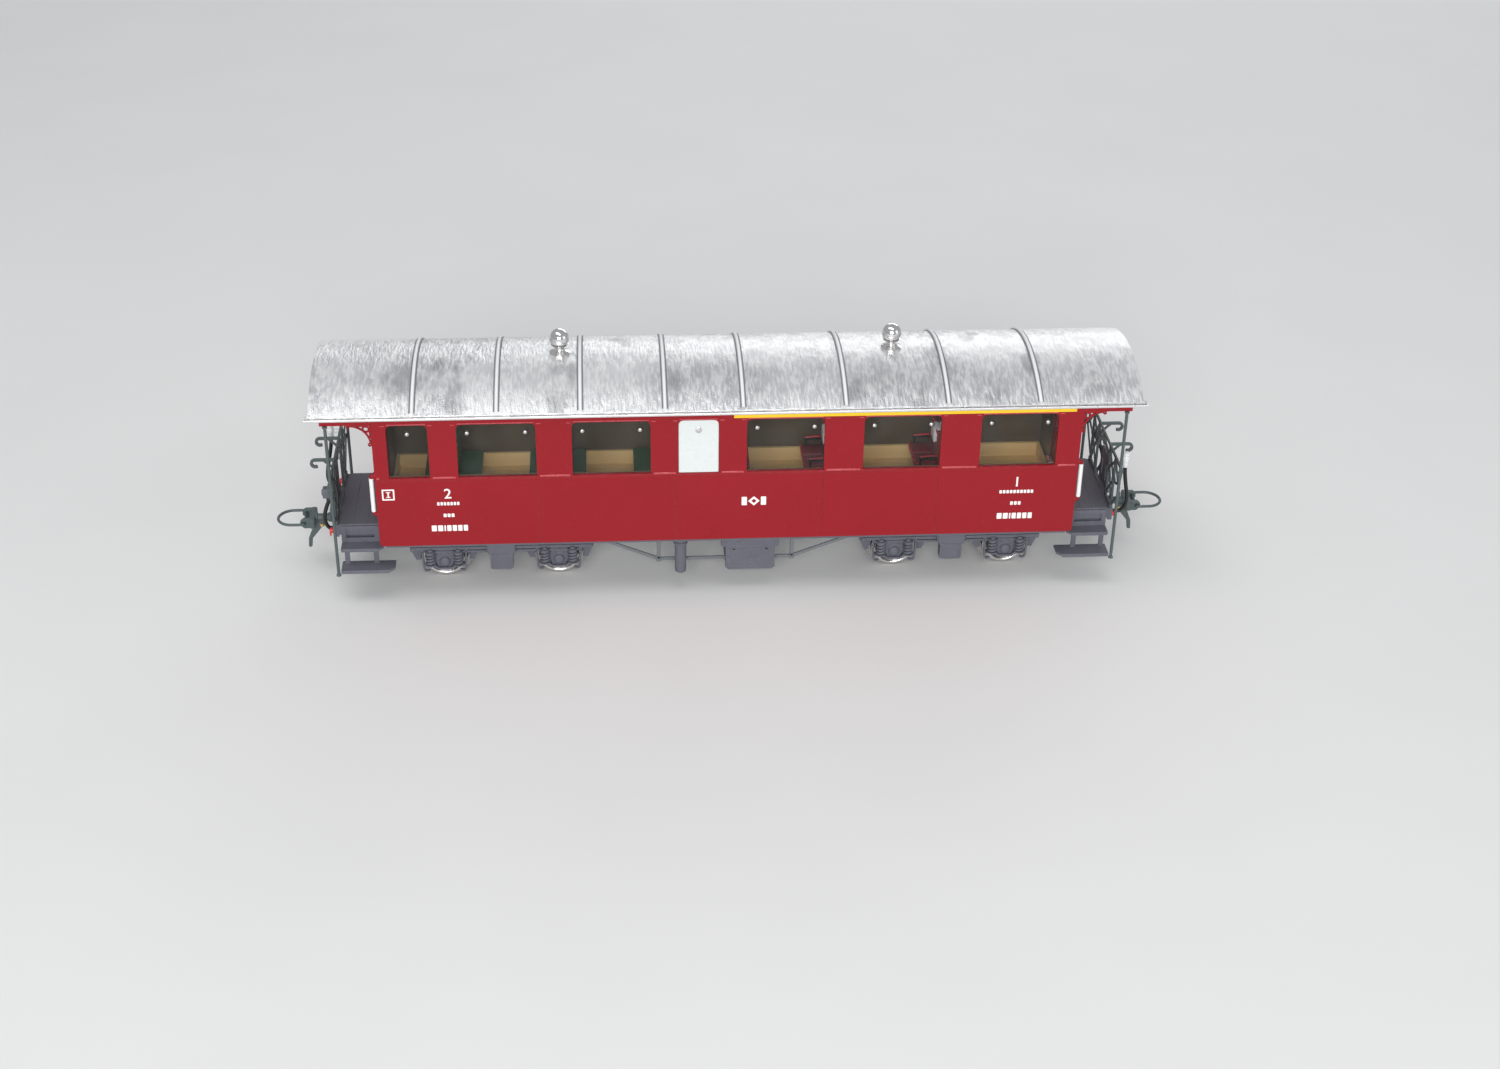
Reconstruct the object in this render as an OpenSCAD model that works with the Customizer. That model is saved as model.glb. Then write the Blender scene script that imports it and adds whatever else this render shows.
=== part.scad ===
// Narrow-gauge open-platform bogie coach, a display-quality scale model.
// X runs along the coach, Y across it and Z up. The origin is midway between
// the bogies on the centre line, level with the bottom of the wheel flanges.
// Every height below is measured up from the rail top unless it says otherwise.

/* [Track and wheels] */
// Track gauge
gauge = 12; // [11.8:0.1:12.4]
// Diameter of a wheel across its tread
tread_d = 8.6; // [8:0.1:9]
// Depth of the wheel flange below the rail top
flange_depth = 0.9; // [0.6:0.1:1]
// Distance between the two axles of a bogie
wheelbase = 21.8; // [21:0.1:23]
// Distance between the two bogie pivots
pivot_spacing = 86.6; // [84:0.2:88]

/* [Body] */
// Length of the closed body between its end walls, outside
body_l = 130.9; // [128:0.1:134]
// Width of the body across its sides
body_w = 30.5; // [29.6:0.1:31]
// Height of the lower edge of the sides
skirt_h = 11.55; // [11.2:0.05:11.8]
// Height of the window sills
sill_h = 25.9; // [24:0.1:27]
// Height of the window heads
head_h = 36.9; // [35:0.1:37]
// Width of a saloon window
wide_window = 14.4; // [12:0.1:15]
// Width of a vestibule or toilet window
narrow_window = 7.5; // [6:0.1:8]
// Thickness of the side and end walls
wall_t = 0.8; // [0.6:0.1:1]

/* [Roof] */
// Length of the roof sheet
roof_l = 153; // [150:0.5:156]
// Width of the roof sheet
roof_w = 32; // [31.6:0.1:33]
// Radius of the roof arc, outside
roof_r = 31; // [29:0.5:34]
// Height of the roof crown
crown_h = 43.8; // [43:0.1:44.5]
// Thickness of the roof sheet
roof_t = 0.7; // [0.5:0.1:0.8]

/* [Platforms] */
// Length of an open platform, from the end wall to the headstock face
platform_l = 8.95; // [8.5:0.05:9.5]
// Height of the platform floor
platform_h = 13.4; // [13:0.1:14]
// Width of the platform floor between the step wells
platform_w = 20; // [18:0.5:21]
// Height of the top rail of the end railing
railing_h = 24.6; // [23:0.1:25.5]
// Diameter of the corner posts
post_d = 0.7; // [0.5:0.05:0.9]
// Height of the lower edge of the beams under the platform roof
fascia_h = 37.1; // [36.5:0.1:37.5]

/* [Couplers] */
// Height of the coupler's centre line
coupler_h = 9.4; // [9:0.1:10]
// Distance from the middle of the coach to the far end of a coupler loop
coupler_reach = 86.6; // [85:0.1:88]
// Outside width of a coupler loop
loop_w = 6.2; // [6:0.1:7]
// Diameter of the loop's wire
loop_wire = 0.55; // [0.4:0.05:0.7]

/* [Clearances] */
// Radial running clearance of axles, screws and pins
running = 0.05; // [0.02:0.01:0.08]

/* [Hidden] */
$fn = 48;

body_red = [0.62, 0.10, 0.14];
frame_grey = [0.33, 0.33, 0.38];
rail_green = [0.27, 0.31, 0.30];
roof_silver = [0.78, 0.79, 0.80];
steel = [0.80, 0.80, 0.82];
tray_tan = [0.72, 0.58, 0.36];

wheel_w = 2.2;
flange_w = 0.6;
flange_gap = 0.25;
flange_r = tread_d / 2 + flange_depth;
back_to_back = gauge - 2 * flange_gap - 2 * flange_w;
axle_z = flange_r;
axle_d = 1.5;
journal_d = 1;
journal_y = 9.4;
bogie_x = pivot_spacing / 2;
wheel_x = wheelbase / 2;

wall_x = body_l / 2;
wall_y = body_w / 2;
inner_y = wall_y - wall_t;
headstock_x = wall_x + platform_l;
headstock_t = 0.8;
post_x = headstock_x - 0.8;
roof_axis = rh(crown_h) - roof_r;
ceiling_r = roof_r - roof_t;
eaves_z = roof_axis + sqrt(pow(ceiling_r, 2) - pow(wall_y, 2)) - 0.05;
floor_under = rh(10.6);
solebar_y = 11.1;
floor_top = rh(12);
tray_top = rh(12.6);
platform_z = rh(platform_h);
platform_t = 1;
coupler_z = rh(coupler_h);

// Window centres along the coach, with the narrow panes marked true.
WINDOWS = [
    [-59.05, true], [-42.9, false], [-21.9, false], [-5.85, true],
    [10.25, false], [31.95, false], [53.8, false]
];
toilet_index = 3;
SEAMS = [-35.6, -10, 17.4, 39];
RIBS = [-57.8, -42.6, -27.4, -12, 2.3, 21.2, 40.1, 57.2];
vent_x = 31.1;

// Height in the coach's frame of a point h above the rail top.
function rh(h) = h + flange_depth;
function window_w(w) = w[1] ? narrow_window : wide_window;

module both_ends() for (m = [0, 1]) mirror([m, 0, 0]) children();
module both_sides() for (m = [0, 1]) mirror([0, m, 0]) children();
module four_corners() both_ends() both_sides() children();
module turned_pair() for (a = [0, 180]) rotate(a) children();

// A box from one corner to the opposite one.
module block(low, high) translate(low) cube(high - low);

// A round bar from a to b.
module rod(a, b, d) {
    v = b - a;
    translate(a)
        rotate([0, acos(v[2] / norm(v)), atan2(v[1], v[0])])
            cylinder(h = norm(v), d = d);
}

// A flat strap from p to q in a plane.
module strap(p, q, w) {
    v = q - p;
    translate(p) rotate(atan2(v[1], v[0])) translate([0, -w / 2]) square([norm(v), w]);
}

// Turns a flat outline drawn in X and Z into a plate that starts at y and is t thick.
module plate_xz(y, t) translate([0, y + t, 0]) rotate([90, 0, 0]) linear_extrude(t) children();

// Turns a flat outline drawn in Y and Z into a plate that starts at x and is t thick.
module plate_yz(x, t) translate([x, 0, 0]) rotate([90, 0, 90]) linear_extrude(t) children();

// A strip of the roof's arc, between two radii and within a width.
module roof_strip(r_in, r_out, w) {
    intersection() {
        translate([0, roof_axis]) difference() {
            circle(r = r_out, $fn = 128);
            circle(r = r_in, $fn = 128);
        }
        translate([-w / 2, roof_axis]) square([w, r_out + 1]);
    }
}

// ---- Underframe and platforms ----

module underframe() color(frame_grey) {
    solebar_x = 27;
    solebar_foot = rh(9.7);
    difference() {
        union() {
            block([-wall_x + 1, -inner_y + 0.25, floor_under], [wall_x - 1, inner_y - 0.25, floor_top]);
            block([-solebar_x, solebar_y - 1, solebar_foot], [solebar_x, solebar_y, floor_under]);
            // The near solebar stops on either side of the battery box.
            for (reach = [[-solebar_x, -1.6], [9.8, solebar_x]])
                block([reach[0], -solebar_y, solebar_foot], [reach[1], 1 - solebar_y, floor_under]);
            for (x = [-22, -13.3, 16, 25])
                block([x - 0.5, 0.5 - solebar_y, solebar_foot], [x + 0.5, solebar_y - 0.5, floor_under]);
            both_ends() {
                block([wall_x - 1, -platform_w / 2, rh(11.2)], [wall_x + 0.05, platform_w / 2, floor_top]);
                block([wall_x + 0.05, -platform_w / 2, rh(11.2)],
                      [headstock_x - headstock_t, platform_w / 2, platform_z - platform_t]);
                block([headstock_x - headstock_t, -platform_w / 2, rh(10.8)],
                      [headstock_x, platform_w / 2, platform_z]);
            }
        }
        both_ends() translate([bogie_x, 0, floor_under - 1]) cylinder(h = 3, d = 1.6);
        both_ends() translate([66.5, 0, rh(11.2) - 1]) cylinder(h = 3, d = 1.4);
    }
}

module platform_floors() color(frame_grey) {
    both_ends() block([wall_x, -platform_w / 2, platform_z - platform_t],
                      [headstock_x - headstock_t, platform_w / 2, platform_z]);
}

// Outline of a step tread seen from above, its inner front corner cut off.
module tread_outline(x_in, x_out, y_back, y_front) {
    cut = 0.9;
    polygon([[x_in, y_back], [x_out, y_back], [x_out, y_front], [x_in + cut, y_front], [x_in, y_front - cut]]);
}

// One pair of steps, drawn at the corner where X and Y are positive.
module step_pair() {
    y0 = platform_w / 2;
    tread_t = 0.45;
    x_out = post_x - post_d / 2 - 0.1;
    difference() {
        block([wall_x + 0.6, y0, rh(9.6)], [x_out, y0 + 0.45, platform_z - 0.2]);
        block([wall_x + 1.5, y0 + 0.2, rh(10.7)], [x_out - 0.9, y0 + 1, platform_z - 1]);
    }
    translate([0, 0, rh(9.9) - tread_t]) linear_extrude(tread_t)
        tread_outline(wall_x - 0.3, x_out, y0, 13.3);
    for (x = [wall_x + 0.8, x_out - 1.5])
        block([x, 12.1, rh(6.4) - tread_t], [x + 0.9, 12.5, rh(9.9) - tread_t]);
    translate([0, 0, rh(6.4) - tread_t]) linear_extrude(tread_t)
        tread_outline(63.1, x_out, 11.6, 15.4);
}

module steps_left() color(frame_grey) mirror([1, 0, 0]) both_sides() step_pair();

module steps_right() color(frame_grey) both_sides() step_pair();

module corner_posts() color(rail_green) {
    four_corners() translate([post_x, wall_y, rh(5.4)]) cylinder(h = fascia_h - 5.4, d = post_d, $fn = 24);
}

// The lattice on one side of the gangway, in Y and Z.
module railing_panel() {
    foot = platform_z;
    top = rh(railing_h);
    y_in = 4.6;
    y_out = wall_y - post_d / 2;
    mid = (y_in + y_out) / 2;
    strap_w = 0.5;
    waist = (foot + top) / 2;
    translate([y_in, top - 0.6]) square([y_out - y_in, 0.6]);
    translate([y_in, foot]) square([platform_w / 2 - y_in, 0.5]);
    translate([y_in, foot]) square([0.6, top - foot]);
    translate([mid - 0.25, foot]) square([0.5, top - foot]);
    strap([y_in + 0.3, foot + 0.3], [mid, waist + 0.1], strap_w);
    strap([y_in + 0.3, waist + 0.6], [mid, foot + 0.2], strap_w);
    strap([y_in + 0.3, waist - 0.5], [mid, top - 0.2], strap_w);
    strap([y_in + 0.3, top - 0.3], [mid, waist - 0.2], strap_w);
    strap([mid, foot + 0.4], [y_out - 0.3, waist + 0.2], strap_w);
    strap([mid, waist + 0.8], [y_out - 0.5, top - 0.25], strap_w);
    strap([y_out - 0.35, waist - 0.3], [mid, top - 0.4], strap_w);
}

// The bars over the gangway in the middle of the railing, in Y and Z.
module gangway_bars() {
    top = rh(railing_h);
    half = 4.9;
    ring_r = 1.1;
    hub = top - 0.4 - ring_r;
    translate([-half, top - 0.6]) square([2 * half, 0.6]);
    difference() {
        union() {
            translate([0, hub]) circle(r = ring_r);
            for (s = [-1, 1]) strap([s * half, top - 3.4], [s * 0.3, hub - 0.2], 0.4);
        }
        translate([0, hub]) circle(r = ring_r - 0.4);
    }
}

module end_railings() color(rail_green) {
    both_ends() plate_yz(headstock_x - headstock_t + 0.2, 0.4) {
        gangway_bars();
        for (m = [0, 1]) mirror([m, 0]) railing_panel();
    }
}

// The plate that bridges to the next coach, stowed upright.
module gangway_plates() color(frame_grey) {
    both_ends() plate_yz(headstock_x, 0.5) difference() {
        union() {
            translate([-3.4, platform_z - 0.2]) square([6.8, 6.2]);
            translate([-2.4, platform_z + 6]) square([4.8, 1]);
            for (s = [-1, 1]) translate([s * 2.4, platform_z + 6]) circle(r = 1);
        }
        for (s = [-1, 1]) translate([s * 1.6, platform_z + 3]) square([0.8, 3.6], center = true);
    }
}

// Two arms with hooked ends hold the coach's safety chains.
module coupling_hook_arms() color(rail_green) {
    arm_z = rh(railing_h) - 0.3;
    arm_w = 0.5;
    tip_x = headstock_x + 3.9;
    both_ends() for (y = [-4.3, 4.3]) plate_xz(y - arm_w / 2, arm_w) {
        translate([headstock_x - 0.2, arm_z - 0.25]) square([4.1, 0.5]);
        translate([tip_x - 0.7, arm_z - 0.75]) difference() {
            circle(r = 1, $fn = 32);
            circle(r = 0.5, $fn = 32);
            translate([-2, -2]) square([2, 4]);
        }
        translate([tip_x - 1.5, arm_z - 1.75]) square([0.8, 0.5]);
        strap([headstock_x - 0.2, arm_z - 2.6], [headstock_x + 1.6, arm_z - 0.2], 0.4);
    }
}

module end_lamps() color("ivory") {
    both_ends() translate([wall_x, 0, rh(38.4)]) {
        rotate([0, 90, 0]) cylinder(h = 0.5, d = 2.2);
        translate([0.5, 0, 0]) rotate([0, 90, 0]) cylinder(h = 0.9, d = 1.5);
    }
}

// Beams, roof bows and pierced brackets that carry the roof over the platforms.
module fascia_frames() color(body_red) {
    beam_z = rh(fascia_h);
    beam_t = 0.5;
    beam_end = headstock_x + 0.2;
    bracket = 3.9;
    four_corners() block([wall_x, wall_y - beam_t, beam_z], [beam_end - 0.7, wall_y, eaves_z]);
    both_ends() plate_yz(beam_end - 0.7, 0.7) {
        roof_strip(ceiling_r - 0.95, ceiling_r - 0.05, 2 * wall_y);
        for (m = [0, 1]) mirror([m, 0]) translate([wall_y - beam_t, beam_z]) square([beam_t, eaves_z - beam_z]);
    }
    four_corners() plate_xz(wall_y - beam_t, beam_t - 0.1) difference() {
        translate([wall_x, beam_z - bracket]) square(bracket);
        translate([wall_x + bracket, beam_z - bracket]) circle(r = bracket - 0.35);
        translate([wall_x + 0.75, beam_z - 0.75]) circle(r = 0.42, $fn = 24);
        translate([wall_x + 0.45, beam_z - 1.85]) circle(r = 0.25, $fn = 24);
        translate([wall_x + 1.85, beam_z - 0.45]) circle(r = 0.25, $fn = 24);
    }
}

// ---- Body ----

// A window opening with round head corners, its sill corner at the origin.
module opening(w, h, r) {
    square([w, h - r]);
    translate([r, 0]) square([w - 2 * r, h]);
    for (x = [r, w - r]) translate([x, h - r]) circle(r = r, $fn = 32);
}

module window_openings(margin = 0) {
    head_r = 1.1;
    for (w = WINDOWS)
        translate([w[0] - window_w(w) / 2 - margin, rh(sill_h) - margin])
            opening(window_w(w) + 2 * margin, head_h - sill_h + 2 * margin, head_r);
}

// A side wall with its windows, waist rail, drip strips and panel seams, at Y = -wall_y.
module side_wall() {
    corner = 0.7;
    bead = 0.12;
    difference() {
        plate_xz(-wall_y, wall_t) difference() {
            polygon([[-wall_x + corner, rh(skirt_h)], [wall_x - corner, rh(skirt_h)],
                     [wall_x, rh(skirt_h) + corner], [wall_x, eaves_z],
                     [-wall_x, eaves_z], [-wall_x, rh(skirt_h) + corner]]);
            window_openings();
        }
        for (x = SEAMS)
            block([x - 0.08, -wall_y - 1, rh(skirt_h) - 1], [x + 0.08, -wall_y + 0.1, rh(sill_h) - 0.5]);
    }
    plate_xz(-wall_y - bead, bead) {
        translate([-wall_x + 0.3, rh(sill_h) - 0.5]) square([body_l - 0.6, 0.3]);
        for (w = WINDOWS) translate([w[0] - window_w(w) / 2, rh(head_h) + 0.05]) square([window_w(w), 0.2]);
        for (i = [0:len(WINDOWS) - 2]) {
            gap_start = WINDOWS[i][0] + window_w(WINDOWS[i]) / 2;
            gap_end = WINDOWS[i + 1][0] - window_w(WINDOWS[i + 1]) / 2;
            translate([gap_start + 0.5, rh(sill_h) - 0.05]) square([gap_end - gap_start - 1, 0.3]);
        }
    }
}

module side_near() color(body_red) side_wall();

module side_far() color(body_red) mirror([0, 1, 0]) side_wall();

// An end wall with its doorway and two grab rail sockets, facing +X.
module end_wall() {
    door_w = 8.4;
    difference() {
        plate_yz(wall_x - wall_t, wall_t) difference() {
            intersection() {
                translate([-inner_y, floor_top]) square([2 * inner_y, rh(crown_h) - floor_top]);
                translate([0, roof_axis]) circle(r = ceiling_r - 0.05, $fn = 128);
            }
            translate([-door_w / 2, platform_z]) square([door_w, rh(34.6) - platform_z]);
        }
        both_sides() block([wall_x - 0.12, 6, rh(15)], [wall_x + 1, 6.16, rh(34)]);
    }
    both_sides() for (z = [rh(18.3), rh(26.4)])
        translate([wall_x, 14.6, z]) rotate([0, 90, 0]) cylinder(h = 1.15, d = 0.9, $fn = 24);
}

module end_wall_left() color(body_red) mirror([1, 0, 0]) end_wall();

module end_wall_right() color(body_red) end_wall();

module end_doors() color(body_red) {
    both_ends() plate_yz(wall_x - 0.7, 0.5) difference() {
        translate([-4.15, platform_z + 0.05]) square([8.3, rh(34.55) - platform_z - 0.05]);
        translate([-2.6, rh(24.6)]) opening(5.2, 8.2, 0.8);
    }
}

module door_handles() color("goldenrod") {
    turned_pair() translate([wall_x - 0.2, 3.2, rh(22)]) {
        rotate([0, 90, 0]) cylinder(h = 0.5, d = 0.7, $fn = 24);
        translate([0.5, 0, 0]) block([0, -1.4, -0.2], [0.3, 0.3, 0.2]);
    }
}

// Clear panes set inside the openings, each one a little larger than its opening.
module glazing() color([0.75, 0.82, 0.85, 0.35]) {
    lap = 0.5;
    pane_t = 0.3;
    both_sides() for (i = [0:len(WINDOWS) - 1]) {
        w = WINDOWS[i];
        block([w[0] - window_w(w) / 2 - lap, -inner_y, rh(sill_h) - lap],
              [w[0] + window_w(w) / 2 + lap, -inner_y + pane_t, rh(head_h) + lap]);
    }
    both_ends() block([wall_x - 0.7 - pane_t, -3, rh(24.3)], [wall_x - 0.7, 3, rh(33.1)]);
}

// The opaque pane of the toilet compartment, nearly flush with the near side.
module toilet_pane() color("white") {
    w = WINDOWS[toilet_index];
    fit = 0.02;
    plate_xz(-wall_y + 0.15, wall_t - 0.15)
        translate([w[0] - window_w(w) / 2 + fit, rh(sill_h) + fit])
            opening(window_w(w) - 2 * fit, head_h - sill_h - 2 * fit, 1.1);
}

// Small bright turn-buttons near the window heads.
module window_knobs() color(steel) {
    knob_z = rh(head_h) - 2.1;
    both_sides() for (i = [0:len(WINDOWS) - 1]) {
        w = WINDOWS[i];
        base = i == toilet_index ? -wall_y + 0.15 : -inner_y;
        for (x = w[1] ? [0] : [-5.3, 5.3])
            translate([w[0] + x, base, knob_z]) rotate([90, 0, 0]) {
                cylinder(h = 0.25, d = 0.8, $fn = 24);
                translate([0, 0, 0.25]) cylinder(h = 0.2, d1 = 0.8, d2 = 0.4, $fn = 24);
            }
    }
}

// White hand rails at the body corners, held between the red sockets.
module grab_rails() color("white") {
    rail_x = wall_x + 0.7;
    four_corners() translate([rail_x, 14.6, rh(18.75)]) cylinder(h = 7.2, d = 0.75, $fn = 24);
}

// ---- Roof ----

module roof_sheet() color(roof_silver) {
    plate_yz(-roof_l / 2, roof_l) roof_strip(ceiling_r, roof_r, roof_w);
}

// Half-round beads over the joints of the roof cover.
module roof_ribs() color(roof_silver) {
    bead_r = 0.34;
    half_angle = asin((roof_w / 2 - 0.5) / roof_r);
    for (x = RIBS) translate([x, 0, roof_axis])
        rotate([0, -90, 0]) rotate([0, 0, -half_angle])
            rotate_extrude(angle = 2 * half_angle, $fn = 128)
                translate([roof_r, 0]) intersection() {
                    circle(r = bead_r, $fn = 24);
                    translate([0, -bead_r]) square([bead_r, 2 * bead_r]);
                }
}

// Rain strips along the eaves, a flat strip with a lip at its foot.
module gutters() color(roof_silver) {
    top = roof_axis + sqrt(pow(roof_r, 2) - pow(roof_w / 2, 2));
    reach = roof_l / 2 + 0.7;
    both_sides() plate_yz(-reach, 2 * reach)
        polygon([[roof_w / 2, top], [roof_w / 2, top - 0.8], [roof_w / 2 + 0.65, top - 0.8],
                 [roof_w / 2 + 0.65, top - 0.45], [roof_w / 2 + 0.3, top - 0.4],
                 [roof_w / 2 + 0.3, top - 0.05]]);
}

// Turned vents: a flange, a neck and a round hood with a lip.
module roof_vents() color(steel) {
    both_ends() translate([vent_x, 0, rh(crown_h)]) rotate_extrude() {
        square([1.8, 0.4]);
        translate([0, 0.35]) square([0.9, 1.3]);
        translate([0, 1.55]) square([1.8, 0.35]);
        intersection() {
            translate([0, 2.9]) circle(r = 1.85);
            translate([0, 1.8]) square([2, 4]);
        }
    }
}

module class_stripes() color("gold") {
    stripe_z = rh(head_h) + 0.35;
    both_sides() block([0.6, -wall_y - 0.1, stripe_z], [wall_x - 1.3, -wall_y, stripe_z + 0.7]);
}

// ---- Fittings under the floor ----

// Trussing of one side: a flat bar that drops to two queen posts.
module truss_rods() color(frame_grey) {
    end_z = rh(9.7);
    low = rh(5.2);
    x_end = [-24, 24];
    x_post = [-13.3, 12.2];
    both_sides() plate_xz(solebar_y, 0.6) {
        strap([x_end[0], end_z], [x_post[0], low], 0.65);
        strap([x_post[0], low], [x_post[1], low], 0.65);
        strap([x_post[1], low], [x_end[1], end_z], 0.65);
        for (x = x_post) {
            translate([x - 0.35, low]) square([0.7, floor_under - low]);
            translate([x, low]) circle(r = 0.55, $fn = 32);
        }
        translate([x_end[0] - 0.7, end_z - 0.5]) square([1.4, floor_under - end_z + 0.5]);
        translate([x_end[1] - 0.7, end_z - 0.5]) square([1.4, floor_under - end_z + 0.5]);
    }
}

module toilet_pipe() color(frame_grey) {
    translate([-9.2, -13, rh(3.4)]) difference() {
        cylinder(h = floor_under - rh(3.4), d = 2.2);
        translate([0, 0, -1]) cylinder(h = 4, d = 1.6);
    }
}

// A box with a wider shoulder under the floor, cut lower corners and a passage for the truss bar.
module battery_box() color(frame_grey) {
    x0 = -0.6;
    x1 = 8.8;
    y0 = -13.5;
    depth = 8.8;
    cut = 0.5;
    low = rh(3.55);
    difference() {
        plate_xz(y0, depth)
            polygon([[x0, low + cut], [x0 + cut, low], [x1 - cut, low], [x1, low + cut],
                     [x1, floor_under - 2], [x0, floor_under - 2]]);
        block([x0 - 1, -12, rh(4.5)], [x1 + 1, -10.8, rh(5.9)]);
    }
    block([x0 - 0.8, y0, floor_under - 2], [x1 + 0.8, y0 + depth, floor_under]);
}

module brake_cylinder() color(frame_grey) {
    z = rh(7.9);
    block([2, 5, z], [8, 7, floor_under]);
    translate([1, 6, z]) rotate([0, 90, 0]) cylinder(h = 8, d = 3.6);
    rod([9, 6, z], [13, 6, z], 0.9);
    block([-10.5, 5.4, z], [-3.5, 6.6, floor_under]);
    translate([-12, 6, z]) rotate([0, 90, 0]) cylinder(h = 10, d = 4);
}

// Red-handled taps on the air pipe.
module brake_taps() color([0.8, 0.1, 0.1]) {
    turned_pair() {
        translate([10.6, -solebar_y - 0.8, rh(10.15)]) rotate([-90, 0, 0]) cylinder(h = 0.8, d = 0.8, $fn = 24);
        for (y = [-9.6, 9.6]) translate([headstock_x, y, rh(12)]) {
            rotate([0, 90, 0]) cylinder(h = 0.9, d = 0.9, $fn = 24);
            block([0.9, -0.3, -0.2], [1.2, 0.9, 0.2]);
        }
    }
}

// A point on the smooth curve through a, b, c and d, a fraction t of the way from b to c.
function between(a, b, c, d, t) =
    0.5 * (2 * b + (c - a) * t + (2 * a - 5 * b + 4 * c - d) * t * t + (3 * b - a - 3 * c + d) * t * t * t);

// The route's points with extra ones between them, on a smooth curve.
function smooth(route, steps) = [
    for (i = [0:len(route) - 2]) for (k = [0:steps - 1])
        between(route[max(i - 1, 0)], route[i], route[i + 1], route[min(i + 2, len(route) - 1)], k / steps),
    route[len(route) - 1]
];

function unit(v) = v / norm(v);

// A hose of n sides swept along a route that never runs straight across the coach.
module hose(route, d) {
    n = 8;
    path = smooth(route, 3);
    last = len(path) - 1;
    rings = [
        for (i = [0:last])
            let (along = unit(path[min(i + 1, last)] - path[max(i - 1, 0)]),
                 side = unit(cross(along, [0, 1, 0])),
                 up = cross(side, along))
                for (k = [0:n - 1])
                    path[i] + d / 2 * (cos(360 * k / n) * side + sin(360 * k / n) * up)
    ];
    walls = [
        for (i = [0:last - 1]) for (k = [0:n - 1])
            [i * n + k, i * n + (k + 1) % n, (i + 1) * n + (k + 1) % n, (i + 1) * n + k]
    ];
    start = [for (k = [n - 1:-1:0]) k];
    end = [for (k = [0:n - 1]) last * n + k];
    polyhedron(rings, concat([start], walls, [end]), convexity = 4);
}

// Routes of the right-hand end's hoses; the left-hand end has the same, turned round.
HEATING_ROUTE = [
    [76.1, -9.1, 22.8], [76.3, -9.1, 21], [76.7, -8.9, 18.8], [77.2, -8.6, 16.4],
    [77.3, -8.3, 14.4], [76.7, -8, 12.9], [75.7, -7.8, 12.3], [74.4, -7.7, 12.2]
];
BRAKE_ROUTE = [
    [75, 8.4, 19.5], [75.2, 8.4, 18.6], [75.8, 8.5, 17], [76.2, 8.5, 15.2],
    [76, 8.4, 13.6], [75.4, 8.3, 12.7], [74.4, 8.2, 12.4]
];
module brake_hoses() color([0.06, 0.06, 0.06]) {
    turned_pair() {
        hose(HEATING_ROUTE, 0.75);
        hose(BRAKE_ROUTE, 0.75);
    }
}

module heating_plugs() color("whitesmoke") {
    turned_pair() {
        translate(HEATING_ROUTE[0]) {
            rotate([-4, 0, 0]) cylinder(h = 2.3, d1 = 1, d2 = 1.3, $fn = 24);
            translate([0, 0.15, 2.2]) cylinder(h = 0.9, d = 1.45, $fn = 24);
        }
        block([headstock_x - 0.2, -9.4, rh(23)], [76, -8.8, rh(23.8)]);
    }
}

module heating_sockets() color(frame_grey) {
    turned_pair() {
        block([headstock_x - 0.2, 7.5, rh(18.6)], [75.5, 9.3, rh(20.6)]);
        translate([75.5, 8.4, rh(19.6)]) rotate([0, 90, 0]) cylinder(h = 0.8, d = 1.3, $fn = 24);
    }
}

// ---- Interior ----

second_bays = [-52.6, -32.4, -12.1];
first_bays = [-0.3, 21.1, 42.9];
seat_back_t = 0.9;
seat_rows = [[3.6, 13.2], [-13.2, -5]];
end_seat_x = 62.6;
lead_x = 58.5;
lead_y = 0.5;
// Legs stand under the aisle ends of the seats.
SEAT_LEGS = [
    for (x = [second_bays[0], second_bays[1], first_bays[1], first_bays[2]]) for (s = [-1, 1]) x + s * 4.9,
    second_bays[2] - 4.9, first_bays[0] + 4.9
];

// Floor tray with low walls and one tan leg under each bench.
module interior_tray() color(tray_tan) {
    x_end = wall_x - wall_t - 0.4;
    y_end = inner_y - 0.5;
    lip = 0.6;
    difference() {
        block([-x_end, -y_end, floor_top], [x_end, y_end, floor_top + 3.4]);
        block([-x_end + lip, -y_end + lip, tray_top], [x_end - lip, y_end - lip, floor_top + 5]);
    }
    for (x = SEAT_LEGS) block([x - 0.25, 2.4, tray_top], [x + 0.25, 3.1, rh(16)]);
    both_ends() translate([lead_x, lead_y, tray_top]) difference() {
        translate([-2.8, -3, 0]) cube([5.6, 6, 1.4]);
        translate([-2, -2.2, 0.9]) cube([4, 4.4, 1]);
    }
}

// A seat with its back against the plane x = 0, facing +X.
module seat(y0, y1) {
    base = rh(15.4);
    plate_xz(y0, y1 - y0) {
        translate([seat_back_t, base]) square([4.6, 0.9]);
        polygon([[0.1, base], [seat_back_t + 0.6, base], [seat_back_t, rh(19)],
                 [seat_back_t, rh(22.6)], [0.1, rh(22.6)]]);
    }
}

// Seats on both faces of a bay wall; dir says which faces carry one.
module seat_group(x, dirs) {
    for (d = dirs) for (row = seat_rows)
        translate([x, 0, 0]) mirror([d < 0 ? 1 : 0, 0, 0]) seat(row[0], row[1]);
}

module benches_second() color([0.13, 0.29, 0.19]) {
    seat_group(second_bays[0], [-1, 1]);
    seat_group(second_bays[1], [-1, 1]);
    translate([second_bays[2], 0, 0]) mirror([1, 0, 0]) seat(seat_rows[0][0], seat_rows[0][1]);
}

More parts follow.
